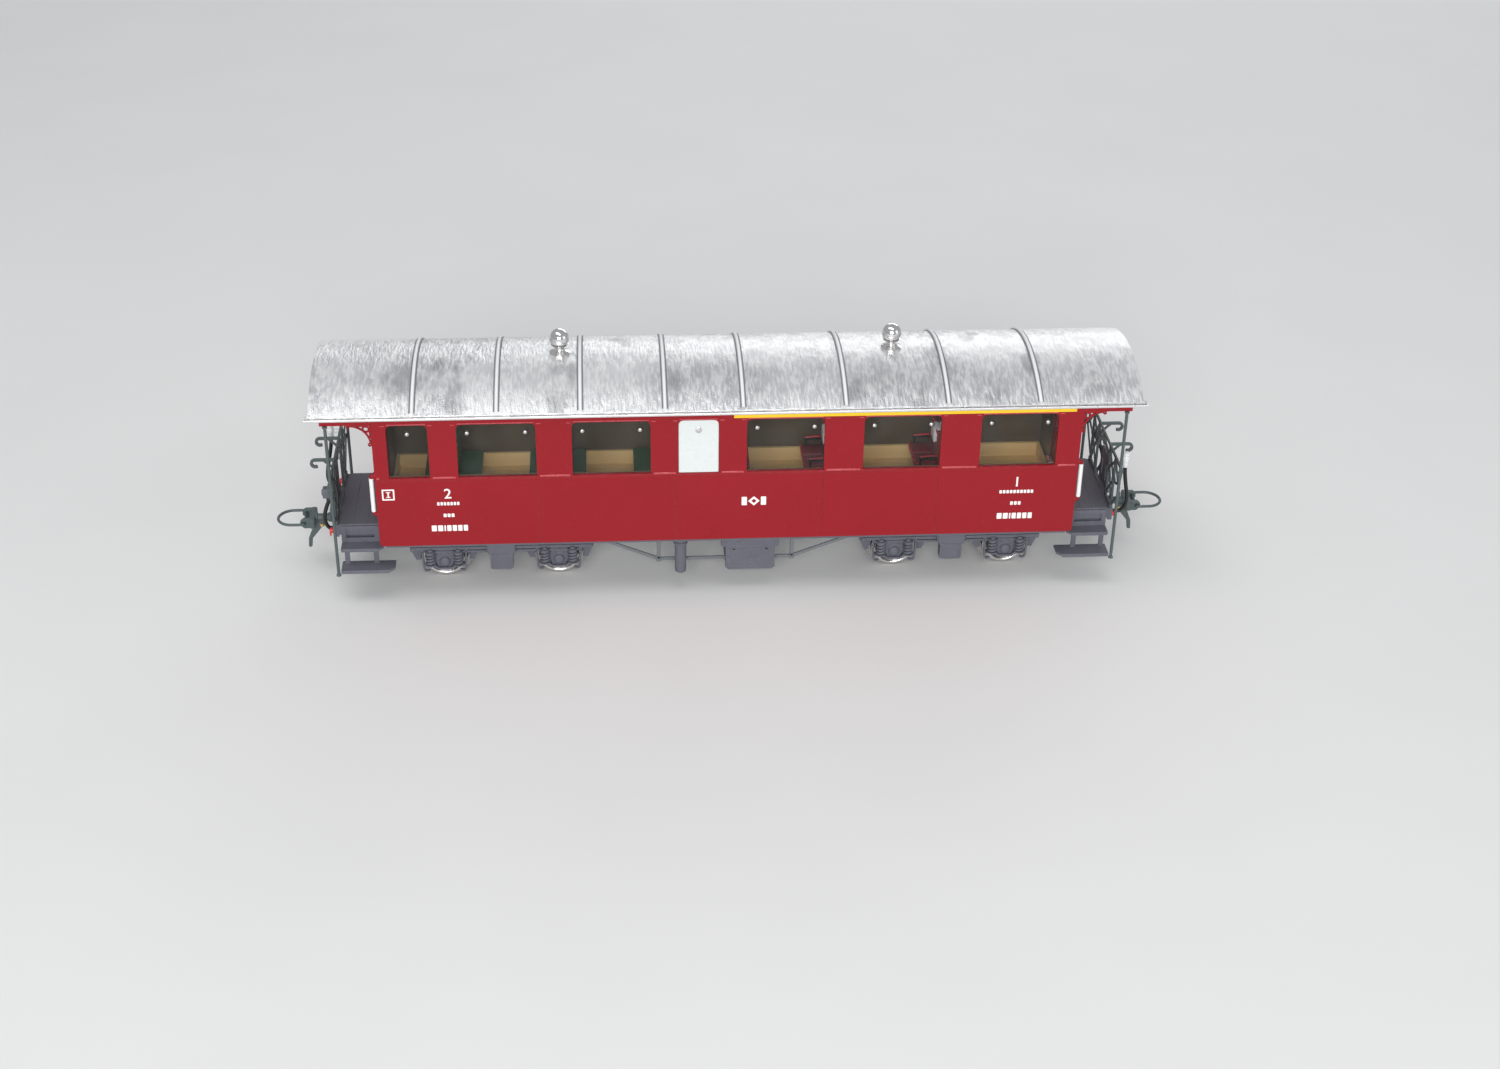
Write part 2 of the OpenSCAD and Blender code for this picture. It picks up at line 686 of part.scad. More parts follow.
module seats_first() color([0.36, 0.09, 0.12]) {
    translate([first_bays[0], 0, 0]) seat(seat_rows[0][0], seat_rows[0][1]);
    seat_group(first_bays[1], [-1, 1]);
    seat_group(first_bays[2], [-1, 1]);
    translate([end_seat_x, 0, 0]) mirror([1, 0, 0]) seat(seat_rows[1][0], seat_rows[1][1]);
}

// The dark plinth under each seat of a group.
module plinth(x, dirs, rows) {
    for (d = dirs) for (row = rows)
        translate([x, 0, 0]) mirror([d < 0 ? 1 : 0, 0, 0])
            block([0.3, row[0] + 0.5, tray_top], [3.8, row[1] - 0.5, rh(15.4)]);
}

module seat_plinths() color([0.05, 0.06, 0.05]) {
    for (x = [second_bays[0], second_bays[1], first_bays[1], first_bays[2]]) plinth(x, [-1, 1], seat_rows);
    plinth(second_bays[2], [-1], [seat_rows[0]]);
    plinth(first_bays[0], [1], [seat_rows[0]]);
    plinth(end_seat_x, [-1], [seat_rows[1]]);
}

module cloth(x, d, row) {
    translate([x, 0, 0]) mirror([d < 0 ? 1 : 0, 0, 0])
        block([seat_back_t + 0.02, row[0] + 1.5, rh(20.2)], [seat_back_t + 0.25, row[1] - 1.5, rh(22.6)]);
}

module headrest_cloths() color("whitesmoke") {
    for (x = [first_bays[1], first_bays[2]]) for (d = [-1, 1]) for (row = seat_rows) cloth(x, d, row);
    cloth(first_bays[0], 1, seat_rows[0]);
    cloth(end_seat_x, -1, seat_rows[1]);
}

// Cross walls of the toilet, the class division and the vestibules.
module partitions() color([0.25, 0.19, 0.14]) {
    wall_top = rh(37);
    t = 0.5;
    door_y = [-1.8, 1.8];
    for (x = [-12.05, 0]) {
        block([x - t / 2 - 0.2, -inner_y + 1.2, tray_top], [x + t / 2 - 0.2, door_y[0], wall_top]);
    }
    block([-11.9, door_y[0] - t, tray_top], [-0.55, door_y[0], wall_top]);
    block([-0.95, door_y[1], tray_top], [-0.45, inner_y - 1.2, wall_top]);
}

// Two wire leads stand in a box over each bogie and feed the lighting.
module lead_posts() color([0.08, 0.07, 0.07]) {
    both_ends() for (x = [-0.7, 0.7])
        translate([lead_x + x, lead_y, tray_top + 0.9]) {
            cylinder(h = 3.6, d = 0.8, $fn = 24);
            translate([0, 0, 3.6]) sphere(d = 0.8, $fn = 24);
        }
}

// ---- Bogies ----

// Transom, spine and centre boss of a bogie, centred on its pivot.
module bogie_frame() {
    boss_z = rh(8.8);
    spine_y = back_to_back / 2 - 0.7;
    difference() {
        union() {
            block([-3.3, -8.2, rh(6.4)], [3.3, 8.2, boss_z]);
            block([-15, -spine_y, rh(7)], [15, spine_y, rh(8)]);
            translate([0, 0, rh(7)]) cylinder(h = floor_under - running - rh(7), r = 2.6);
        }
        translate([0, 0, rh(6)]) cylinder(h = 6, d = 1.6 + 2 * running);
    }
}

module bogie_frame_left() color(frame_grey) translate([-bogie_x, 0, 0]) bogie_frame();

module bogie_frame_right() color(frame_grey) translate([bogie_x, 0, 0]) bogie_frame();

// One cast side frame in X and Z: beams, horn guides, springs, axleboxes and bolster.
module side_frame() {
    y0 = 8.2;
    plate_xz(y0, 0.9) {
        translate([-17.3, rh(8.4)]) square([34.6, 0.6]);
        translate([-14.6, rh(7.5)]) square([29.2, 0.45]);
        translate([-17.3, rh(6.6)]) square([0.7, 2.4]);
        translate([16.6, rh(6.6)]) square([0.7, 2.4]);
        for (s = [-1, 1]) translate([s * wheel_x, 0]) {
            translate([-1.7, rh(3.1)]) square([3.4, 4.6]);
            translate([-3.9, rh(4)]) square([7.8, 0.6]);
            for (d = [-1, 1]) {
                strap([d * 3.85, rh(8.6)], [d * 3.65, rh(3.2)], 0.45);
                strap([d * 3.65, rh(3.2)], [d * 1.5, rh(2.9)], 0.45);
            }
            translate([-1.7, rh(7.9)]) square([3.4, 0.6]);
        }
        polygon([[-2.8, rh(9)], [2.8, rh(9)], [2.8, rh(6.8)], [2, rh(6.1)], [2, rh(3)], [-2, rh(3)],
                 [-2, rh(6.1)], [-2.8, rh(6.8)]]);
    }
    plate_xz(y0 + 0.9, 1.5)
        polygon([[-2.7, rh(9)], [2.7, rh(9)], [2.7, rh(6.8)], [2.05, rh(6.1)], [2.05, rh(2.9)],
                 [-2.05, rh(2.9)], [-2.05, rh(6.1)], [-2.7, rh(6.8)]]);
    for (s = [-1, 1]) translate([s * wheel_x, y0 + 0.9, axle_z]) rotate([-90, 0, 0]) {
        cylinder(h = 0.5, r = 1.75, $fn = 6);
        translate([0, 0, 0.5]) cylinder(h = 0.35, r = 1.2, $fn = 32);
        translate([0, 0, 0.85]) cylinder(h = 0.2, r1 = 1.2, r2 = 0.7, $fn = 32);
    }
    coil_d = 1.7;
    for (s = [-1, 1]) for (d = [-1, 1]) translate([s * wheel_x + d * 2.65, y0 + 0.75, rh(4.6)]) {
        cylinder(h = 2.95, d = coil_d - 0.4, $fn = 24);
        for (k = [0:4]) translate([0, 0, 0.15 + 0.6 * k]) cylinder(h = 0.3, d = coil_d, $fn = 24);
    }
}

module axleguard_pair() difference() {
    both_sides() side_frame();
    for (s = [-1, 1]) translate([s * wheel_x, -journal_y - running, axle_z])
        rotate([-90, 0, 0]) cylinder(h = 2 * (journal_y + running), d = journal_d + 2 * running);
}

module axleguards_left() color(frame_grey) translate([-bogie_x, 0, 0]) axleguard_pair();

module axleguards_right() color(frame_grey) translate([bogie_x, 0, 0]) axleguard_pair();

// Blocks hung on both sides of every wheel, hollowed to clear its tread.
module brake_shoe_set() {
    shoe_gap = 0.35;
    shoe_y = [6, 7.2];
    four_corners() for (m = [0, 1]) translate([wheel_x, 0, 0]) mirror([m, 0, 0]) {
        plate_xz(shoe_y[0], shoe_y[1] - shoe_y[0]) difference() {
            polygon([[3, rh(7.6)], [6.9, rh(7.6)], [6.9, rh(6.7)], [5.6, rh(3.6)], [3, rh(3.6)]]);
            translate([0, axle_z]) circle(r = tread_d / 2 + shoe_gap, $fn = 64);
            translate([0, rh(7)]) square([3.6, 3]);
        }
        x_hang = m == 0 ? 5.5 : 5.9;
        block([x_hang, shoe_y[0] + 0.3, rh(7.6)], [x_hang + 0.7, shoe_y[1] - 0.3, rh(8.3)]);
        block([x_hang, shoe_y[0] + 0.3, rh(8.3)], [x_hang + 0.7, 8.2, rh(8.8)]);
    }
}

module brake_shoes_left() color(frame_grey) translate([-bogie_x, 0, 0]) brake_shoe_set();

module brake_shoes_right() color(frame_grey) translate([bogie_x, 0, 0]) brake_shoe_set();

// Slotted screws: the bogie pivots and the coupler pivots, put in from below.
module screw(thread_d, head_d, grip, depth) {
    head_t = 0.8;
    difference() {
        translate([0, 0, -grip - head_t]) cylinder(h = head_t, d = head_d, $fn = 32);
        translate([0, 0, -grip - head_t]) cube([head_d + 1, 0.35, 0.7], center = true);
    }
    translate([0, 0, -grip]) cylinder(h = grip + depth, d = thread_d, $fn = 32);
}

module chassis_screws() color(steel) {
    both_ends() translate([bogie_x, 0, floor_under]) screw(1.6, 3.4, floor_under - rh(6.4) + 0.15, 1.3);
    both_ends() translate([66.5, 0, rh(11.2)]) screw(1.4, 2.8, 2.55, 0.7);
}

// ---- Wheelsets, number 1 at the left-hand end ----

function wheelset_x(i) = (i < 2 ? -1 : 1) * bogie_x + (i % 2 == 0 ? -1 : 1) * wheel_x;

// An axle with a journal at each end.
module axle(i) color(steel) translate([wheelset_x(i), 0, axle_z]) rotate([90, 0, 0]) {
    cylinder(h = 15.6, d = axle_d, center = true, $fn = 32);
    cylinder(h = 2 * journal_y, d = journal_d, center = true, $fn = 32);
}

// Two wheels with a flange, a coned tread edge, a thin web and a hub.
module wheel_pair(i) color([0.16, 0.15, 0.15]) {
    tread_r = tread_d / 2;
    translate([wheelset_x(i), 0, axle_z]) both_sides() translate([0, back_to_back / 2, 0])
        rotate([-90, 0, 0]) rotate_extrude($fn = 64)
            polygon([
                [axle_d / 2, 0], [1.5, 0], [1.5, 0.5], [tread_r - 0.9, 0.5], [tread_r - 0.9, 0],
                [flange_r - 0.25, 0], [flange_r, 0.2], [flange_r, flange_w - 0.2],
                [flange_r - 0.2, flange_w], [tread_r + 0.1, flange_w], [tread_r, flange_w + 0.1],
                [tread_r, wheel_w - 0.2], [tread_r - 0.2, wheel_w], [tread_r - 0.8, wheel_w],
                [tread_r - 0.9, wheel_w - 0.6], [1.5, wheel_w - 0.6], [1.4, wheel_w - 0.1],
                [axle_d / 2, wheel_w - 0.1]
            ]);
}

// ---- Couplers, drawn at the right-hand end ----

shank_x = 66.5;
head_x = 80;

module coupler() difference() {
    union() {
        translate([shank_x, 0, coupler_z - 0.5]) cylinder(h = 1.6, d = 3.4, $fn = 32);
        block([shank_x, -0.9, coupler_z - 0.5], [76, 0.9, coupler_z + 0.6]);
        translate([75.5, 0, coupler_z]) rotate([0, 90, 0]) cylinder(h = 4.2, d = 1.5, $fn = 32);
        block([head_x - 0.9, -2.7, coupler_z - 1.1], [head_x + 0.2, 2.7, coupler_z + 0.9]);
        for (s = [-1, 1])
            block([head_x, s * 2 - 0.4, coupler_z - 1.1], [head_x + 1.9, s * 2 + 0.4, coupler_z + 0.9]);
        plate_xz(-0.35, 0.7) {
            polygon([[head_x - 2.6, coupler_z - 0.5], [head_x - 0.6, coupler_z - 0.9],
                     [head_x + 1, rh(4.6)], [head_x + 1, rh(2.9)], [head_x + 0.4, rh(2.9)],
                     [head_x + 0.2, rh(4.8)], [head_x - 1.6, rh(7.2)]]);
        }
    }
    translate([shank_x, 0, coupler_z - 2]) cylinder(h = 5, d = 1.4 + 2 * running);
    translate([head_x + 1.1, -4, coupler_z]) rotate([-90, 0, 0]) cylinder(h = 8, d = loop_wire + 2 * running);
    block([head_x + 0.2, -1.6, coupler_z - 2], [head_x + 2, 1.6, coupler_z + 2]);
}

module coupler_left() color(rail_green) mirror([1, 0, 0]) coupler();

module coupler_right() color(rail_green) coupler();

// A bail of wire: a pin through the head's ears, two legs and a round bow.
module coupler_loop() {
    leg_y = loop_w / 2 - loop_wire / 2;
    pin_x = head_x + 1.1;
    bow_x = coupler_reach - loop_w / 2;
    translate([pin_x, 0, coupler_z]) rotate([90, 0, 0])
        cylinder(h = loop_w, d = loop_wire, center = true, $fn = 24);
    for (s = [-1, 1]) translate([pin_x, s * leg_y, coupler_z]) rotate([0, 90, 0])
        cylinder(h = bow_x - pin_x, d = loop_wire, $fn = 24);
    translate([bow_x, 0, coupler_z]) intersection() {
        rotate_extrude($fn = 64) translate([leg_y, 0]) circle(d = loop_wire, $fn = 24);
        translate([0, -loop_w, -loop_wire]) cube([loop_w, 2 * loop_w, 2 * loop_wire]);
    }
}

module coupler_loop_left() color(rail_green) mirror([1, 0, 0]) coupler_loop();

module coupler_loop_right() color(rail_green) coupler_loop();

underframe();
platform_floors();
steps_left();
steps_right();
corner_posts();
end_railings();
gangway_plates();
coupling_hook_arms();
end_lamps();
fascia_frames();
side_near();
side_far();
end_wall_left();
end_wall_right();
end_doors();
door_handles();
glazing();
toilet_pane();
window_knobs();
grab_rails();
roof_sheet();
roof_ribs();
gutters();
roof_vents();
class_stripes();
truss_rods();
toilet_pipe();
battery_box();
brake_cylinder();
brake_taps();
brake_hoses();
heating_plugs();
heating_sockets();
interior_tray();
benches_second();
seats_first();
seat_plinths();
headrest_cloths();
partitions();
lead_posts();
bogie_frame_left();
bogie_frame_right();
axleguards_left();
axleguards_right();
brake_shoes_left();
brake_shoes_right();
chassis_screws();
axle(0);  // axle_1
axle(1);  // axle_2
axle(2);  // axle_3
axle(3);  // axle_4
wheel_pair(0);  // wheels_1
wheel_pair(1);  // wheels_2
wheel_pair(2);  // wheels_3
wheel_pair(3);  // wheels_4
coupler_left();
coupler_right();
coupler_loop_left();
coupler_loop_right();
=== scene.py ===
"""Looks of a narrow-gauge open-platform model coach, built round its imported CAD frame.

The making functions work in millimetres in the coach's own frame: X along it, Y across it, Z up.
A shape is (points, faces); make() writes it as a piece in metres.
"""

import math

import bmesh
import bpy
import mathutils
from mathutils import Matrix, Vector


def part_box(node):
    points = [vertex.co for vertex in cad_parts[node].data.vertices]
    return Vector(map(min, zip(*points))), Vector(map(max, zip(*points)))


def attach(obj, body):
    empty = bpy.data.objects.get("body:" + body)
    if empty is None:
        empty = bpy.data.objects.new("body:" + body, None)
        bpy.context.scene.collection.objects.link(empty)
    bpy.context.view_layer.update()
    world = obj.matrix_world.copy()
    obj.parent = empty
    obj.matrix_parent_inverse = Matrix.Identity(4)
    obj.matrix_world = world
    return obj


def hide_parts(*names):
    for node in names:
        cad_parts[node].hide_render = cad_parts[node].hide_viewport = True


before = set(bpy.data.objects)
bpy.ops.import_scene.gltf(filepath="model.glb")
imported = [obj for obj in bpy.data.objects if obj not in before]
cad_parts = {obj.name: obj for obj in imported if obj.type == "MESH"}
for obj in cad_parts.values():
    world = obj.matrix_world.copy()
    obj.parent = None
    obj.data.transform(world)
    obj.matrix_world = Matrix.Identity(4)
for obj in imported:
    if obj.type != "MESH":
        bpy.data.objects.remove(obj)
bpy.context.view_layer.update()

MM = 0.001


def box(node):
    """Lowest and highest corner of a CAD node in millimetres."""
    low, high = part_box(node)
    return low / MM, high / MM


# ---- Node graphs, for finishes and for geometry ----


class Wire:
    """An output of a node. Arithmetic on it adds Math nodes."""

    def __init__(self, graph, socket):
        self.graph = graph
        self.socket = socket

    def other(self, name):
        """Another output of the same node."""
        return Wire(self.graph, self.socket.node.outputs[name])

    def calc(self, operation, a, b=0.5):
        return self.graph.node("ShaderNodeMath", {"operation": operation}, {0: a, 1: b})

    def __add__(self, value):
        return self.calc("ADD", self, value)

    def __sub__(self, value):
        return self.calc("SUBTRACT", self, value)

    def __rsub__(self, value):
        return self.calc("SUBTRACT", value, self)

    def __mul__(self, value):
        return self.calc("MULTIPLY", self, value)

    def __truediv__(self, value):
        return self.calc("DIVIDE", self, value)

    __radd__ = __add__
    __rmul__ = __mul__


class Graph:
    """A node tree that is filled by code."""

    def __init__(self, tree):
        self.tree = tree

    def feed(self, socket, value):
        if isinstance(value, Wire):
            self.tree.links.new(value.socket, socket)
        elif isinstance(value, list):
            for wire in value:
                self.tree.links.new(wire.socket, socket)
        else:
            socket.default_value = value

    def node(self, kind, settings=None, sockets=None, out=0):
        made = self.tree.nodes.new(kind)
        for name, value in (settings or {}).items():
            if name == "stops":
                set_stops(made.color_ramp, value)
            else:
                setattr(made, name, value)
        for key, value in (sockets or {}).items():
            self.feed(made.inputs[key], value)
        return Wire(self, made.outputs[out])


def set_stops(ramp, stops):
    """Sets a ramp's (place, grey) stops."""
    while len(ramp.elements) < len(stops):
        ramp.elements.new(1)
    for element, (place, grey) in zip(ramp.elements, stops):
        element.position = place
        element.color = (grey, grey, grey, 1)


# ---- Finishes ----


class Finish(Graph):
    """A material whose surface is one Principled shader."""

    def __init__(self, name):
        self.material = bpy.data.materials.new(name)
        self.material.use_nodes = True
        super().__init__(self.material.node_tree)
        self.tree.nodes.clear()
        self.shader = self.tree.nodes.new("ShaderNodeBsdfPrincipled")
        end = self.tree.nodes.new("ShaderNodeOutputMaterial")
        self.tree.links.new(self.shader.outputs[0], end.inputs[0])
        self.place = self.node("ShaderNodeTexCoord", out="Object")

    def noise(self, grain, detail=3.0, stretch=(1, 1, 1)):
        """Noise with lumps about grain millimetres across, longer along an axis stretched below 1."""
        where = self.node("ShaderNodeMapping", sockets={"Vector": self.place, "Scale": stretch})
        return self.node("ShaderNodeTexNoise", sockets={
            "Vector": where, "Scale": 1 / (grain * MM), "Detail": detail})

    def ramp(self, wire, *stops):
        return self.node("ShaderNodeValToRGB", {"stops": stops}, {0: wire})

    def mix(self, factor, a, b):
        """Colour a where factor is 0 and b where it is 1."""
        colours = [c if isinstance(c, Wire) else (*c, 1) for c in (a, b)]
        return self.node("ShaderNodeMix", {"data_type": "RGBA"}, {
            0: factor, 6: colours[0], 7: colours[1]}, out=2)

    def edges(self, width):
        """A mask that is bright along outer edges, about width millimetres wide."""
        rounded = self.node("ShaderNodeBevel", {"samples": 4}, {"Radius": width * MM})
        plain = self.node("ShaderNodeNewGeometry", out="Normal")
        turned = self.node("ShaderNodeVectorMath", {"operation": "DOT_PRODUCT"}, {0: rounded, 1: plain},
                           out="Value")
        return self.ramp(1 - turned, (0.02, 0), (0.2, 1))

    def bump(self, height, depth):
        """A normal bumped by height, which runs from 0 to 1 over depth millimetres."""
        return self.node("ShaderNodeBump", sockets={"Height": height, "Distance": depth * MM})

    def done(self, **sockets):
        """Feeds the shader's sockets, named with spaces as underscores."""
        for name, value in sockets.items():
            self.feed(self.shader.inputs[name.replace("_", " ")], value)
        return self.material


def shade(colour, amount):
    return tuple(c * amount for c in colour)


def paint(name, colour, rough=0.45, mottle=0.12, grain=2.5, peel=0.02, edge_wear_and_highlight=0.25, dust=0.12, gloss=0.4):
    """Sprayed or brushed paint: faint mottling, orange peel, dust in patches, and edges made lighter,
    partly as worn paint and partly as painted highlight.
    """
    f = Finish(name)
    cloudy = f.noise(grain * 4, 4)
    fine = f.noise(grain * 0.12, 2)
    tone = f.mix(cloudy, shade(colour, 1 - mottle), shade(colour, 1 + mottle))
    specks = f.ramp(f.noise(grain * 0.3, 5), (0.58, 0), (0.75, 1))
    pale = tuple(0.55 * c + 0.25 for c in colour)
    dusty = f.mix(specks * dust, tone, pale)
    # Lighter edges: partly paint worn off, partly painted highlight where light catches the edges.
    edge = f.edges(0.12) * f.ramp(f.noise(1.1, 3), (0.35, 0.15), (0.7, 1))
    worn_and_highlit = f.mix(edge * edge_wear_and_highlight, dusty, tuple(0.6 * c + 0.3 for c in colour))
    hills = f.noise(grain * 0.35, 2) * 0.6 + fine * 0.4
    return f.done(
        Base_Color=worn_and_highlit,
        Roughness=f.ramp(cloudy * 0.6 + fine * 0.4, (0.3, rough - 0.08), (0.7, rough + 0.1)),
        Normal=f.bump(hills, peel),
        Specular_IOR_Level=gloss)


def plastic(name, colour, rough=0.5, mottle=0.08, grain=0.5, relief=0.02):
    """Moulded or painted plastic with a fine even texture."""
    f = Finish(name)
    cloudy = f.noise(6, 3)
    fine = f.noise(grain, 3)
    tone = f.mix(cloudy * 0.7 + fine * 0.3, shade(colour, 1 - mottle), shade(colour, 1 + mottle))
    return f.done(
        Base_Color=tone,
        Roughness=f.ramp(fine, (0.3, rough - 0.1), (0.7, rough + 0.08)),
        Normal=f.bump(fine, relief))


def metal(name, colour, rough=0.25, tarnish=(0.2, 0.18, 0.16), amount=0.25, grain=1.2, relief=0.008):
    """Turned or cast metal with a little tarnish in patches."""
    f = Finish(name)
    patches = f.ramp(f.noise(grain, 5), (0.45, 0), (0.75, 1))
    fine = f.noise(grain * 0.2, 3)
    return f.done(
        Base_Color=f.mix(patches * amount, colour, tarnish),
        Metallic=1 - patches * amount * 0.6,
        Roughness=f.ramp(fine * 0.6 + patches * 0.4, (0.2, rough * 0.6), (0.8, min(1, rough * 1.7))),
        Normal=f.bump(fine, relief))


def roof_finish():
    """Silver paint brushed over a roof: fine hammered streaks down the slope, whose near-white parts are
    partly painted glints, dull clouds and scuffs.
    """
    f = Finish("roof_silver_paint")
    clouds = f.noise(15, 5, (0.7, 1, 1))
    streaks = f.noise(0.75, 4, (1.5, 0.35, 0.35))
    grit = f.noise(0.28, 3)
    swirls = f.noise(2.6, 3, (1.2, 0.7, 0.7))
    scuffs = f.ramp(f.noise(7, 8, (1, 0.6, 0.6)), (0.60, 0), (0.68, 1))
    base = f.mix(f.ramp(clouds, (0.35, 0), (0.65, 1)), (0.50, 0.51, 0.52), (0.74, 0.75, 0.75))
    # Near-white streaks: partly the brushed paint's own streaks, partly painted glints of light off the
    # hammered surface.
    silver = f.mix(f.ramp(streaks * 0.6 + swirls * 0.4, (0.44, 0), (0.58, 1)) * 0.6, base,
                   (0.92, 0.92, 0.90))
    dull = f.mix(scuffs * 0.5, silver, (0.28, 0.28, 0.29))
    return f.done(
        Base_Color=dull,
        Metallic=0.65,
        Roughness=f.ramp(streaks * 0.5 + clouds * 0.5, (0.3, 0.26), (0.7, 0.46)),
        Normal=f.bump(streaks * 0.45 + swirls * 0.4 + grit * 0.15, 0.34))


def glass_finish():
    """Thin clear styrene: nearly invisible, with a faint haze and a gloss."""
    f = Finish("clear_window")
    haze = f.ramp(f.noise(5, 4), (0.4, 0.02), (0.75, 0.045))
    return f.done(
        Base_Color=(0.35, 0.38, 0.38, 1), Roughness=f.ramp(f.noise(2, 3), (0.3, 0.03), (0.8, 0.1)),
        Alpha=haze, IOR=1.45, Normal=f.bump(f.noise(9, 1), 0.03))


RED = (0.27, 0.005, 0.011)
GREY = (0.112, 0.114, 0.140)
GREEN_GREY = (0.074, 0.096, 0.096)

FINISH = {
    "body_red": paint("body_red_paint", RED, rough=0.46, mottle=0.07, grain=3, peel=0.012, edge_wear_and_highlight=0.2,
                      dust=0.03, gloss=0.3),
    # A lighter copy of the body red with strongly lightened edges: painted highlight on the drip and sill
    # strips.
    "trim_red": paint("trim_red_painted_highlight", (0.47, 0.045, 0.06), rough=0.28, mottle=0.07, grain=3, peel=0.006,
                      edge_wear_and_highlight=0.8, dust=0.0, gloss=0.6),
    "frame_grey": paint("frame_grey_paint", GREY, rough=0.6, mottle=0.14, grain=1.6, peel=0.035, edge_wear_and_highlight=0.6,
                        dust=0.16),
    "railing_grey": paint("railing_grey_paint", GREEN_GREY, rough=0.5, mottle=0.15, grain=1.4, peel=0.03,
                          edge_wear_and_highlight=0.35, dust=0.12),
    "roof_silver": roof_finish(),
    # Dark grey used as painted shade: bands along both sides of each roof bead and a strip in each gutter
    # trough.
    "seam_grey": paint("roof_painted_shade_grey_paint", (0.17, 0.17, 0.18), rough=0.5, mottle=0.2, edge_wear_and_highlight=0.2,
                       dust=0.1),
    "truss_grey": paint("truss_grey_paint", (0.15, 0.162, 0.172), rough=0.5, mottle=0.1, grain=1.6,
                        peel=0.02, edge_wear_and_highlight=0.4, dust=0.1),
    "bead_silver": paint("roof_bead_silver_paint", (0.74, 0.75, 0.75), rough=0.36, mottle=0.05, peel=0.01,
                         edge_wear_and_highlight=0.0, dust=0.0),
    "gutter_bright": metal("gutter_bright_paint", (0.82, 0.82, 0.82), rough=0.4, amount=0.12, relief=0.003),
    "vent_chrome": metal("vent_chrome_plate", (0.80, 0.79, 0.78), rough=0.12, amount=0.2),
    "screw_steel": metal("screw_steel_bare", (0.62, 0.60, 0.58), rough=0.3),
    "wheel_metal": metal("wheel_black_nickel", (0.17, 0.165, 0.165), rough=0.38, amount=0.3),
    "tyre_bright": metal("wheel_tyre_bright", (0.62, 0.60, 0.58), rough=0.22, amount=0.3),
    "axle_steel": metal("axle_steel_bare", (0.45, 0.44, 0.43), rough=0.3),
    "door_brass": metal("door_brass_bare", (0.76, 0.55, 0.24), rough=0.28),
    "window_clear": glass_finish(),
    "pane_white": plastic("pane_white_plastic", (0.66, 0.70, 0.69), rough=0.32, mottle=0.03, grain=1.2),
    "rail_white": paint("rail_white_paint", (0.80, 0.80, 0.79), rough=0.4, mottle=0.04, edge_wear_and_highlight=0.0, dust=0.1),
    "transfer_white": paint("transfer_white_ink", (0.82, 0.81, 0.79), rough=0.5, mottle=0.05, grain=0.6,
                            peel=0.01, edge_wear_and_highlight=0.0, dust=0.0),
    "stripe_yellow": paint("stripe_yellow_paint", (0.86, 0.56, 0.02), rough=0.42, mottle=0.06, edge_wear_and_highlight=0.0,
                           dust=0.05),
    "tap_red": paint("tap_red_paint", (0.62, 0.02, 0.02), rough=0.35, edge_wear_and_highlight=0.1),
    "hose_rubber": plastic("hose_black_rubber", (0.012, 0.013, 0.012), rough=0.42, grain=0.25),
    "plug_white": plastic("plug_white_plastic", (0.74, 0.76, 0.76), rough=0.35),
    "lamp_ivory": plastic("lamp_ivory_glass", (0.80, 0.74, 0.55), rough=0.2, grain=0.8),
    "tray_tan": plastic("tray_tan_plastic", (0.86, 0.62, 0.29), rough=0.5, mottle=0.10, grain=0.5),
    "seat_green": plastic("seat_green_paint", (0.045, 0.135, 0.06), rough=0.42, mottle=0.2, grain=0.35),
    "seat_wine": plastic("seat_wine_paint", (0.24, 0.022, 0.036), rough=0.4, mottle=0.2, grain=0.35),
    # Bright red partly for piping, partly as painted highlight along the first class seat edges.
    "piping_red": plastic("seat_piping_and_highlight_red", (0.66, 0.035, 0.055), rough=0.35, grain=0.4),
    "plinth_black": plastic("plinth_black_paint", (0.012, 0.013, 0.012), rough=0.5),
    "headrest_white": plastic("headrest_white_paint", (0.93, 0.93, 0.92), rough=0.5, mottle=0.03,
                              grain=0.25, relief=0.01),
    "partition_brown": plastic("partition_brown_paint", (0.10, 0.075, 0.048), rough=0.4, mottle=0.15),
}

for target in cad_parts.values():
    for spot, cad_material in enumerate(target.data.materials):
        target.data.materials[spot] = FINISH[cad_material.name.split(".")[0]]

# ---- Shapes, in millimetres ----

X, Y, Z = Vector((1, 0, 0)), Vector((0, 1, 0)), Vector((0, 0, 1))


def joined(*shapes):
    """Several shapes as one."""
    points, faces = [], []
    for more_points, more_faces in shapes:
        start = len(points)
        points += more_points
        faces += [tuple(start + i for i in face) for face in more_faces]
    return points, faces


def turned(shape, matrix):
    """A shape through a matrix, with its faces turned back when the matrix mirrors."""
    points, faces = shape
    step = -1 if matrix.determinant() < 0 else 1
    return [matrix @ p for p in points], [face[::step] for face in faces]


def moved(shape, *by):
    return turned(shape, Matrix.Translation(by))


def rotated(shape, degrees, axis):
    return turned(shape, Matrix.Rotation(math.radians(degrees), 4, axis))


def mirrored(shape, axis):
    return turned(shape, Matrix.Scale(-1, 4, axis))


def both_ends(shape):
    return joined(shape, mirrored(shape, X))


def both_sides(shape):
    return joined(shape, mirrored(shape, Y))


def four_corners(shape):
    return both_ends(both_sides(shape))


def turned_pair(shape):
    return joined(shape, rotated(shape, 180, "Z"))


def facing_y(shape, y):
    """Stands a flat shape up so that its X, Y and Z run along X, Z and Y, from y on."""
    return turned(shape, Matrix(((1, 0, 0, 0), (0, 0, 1, y), (0, 1, 0, 0), (0, 0, 0, 1))))


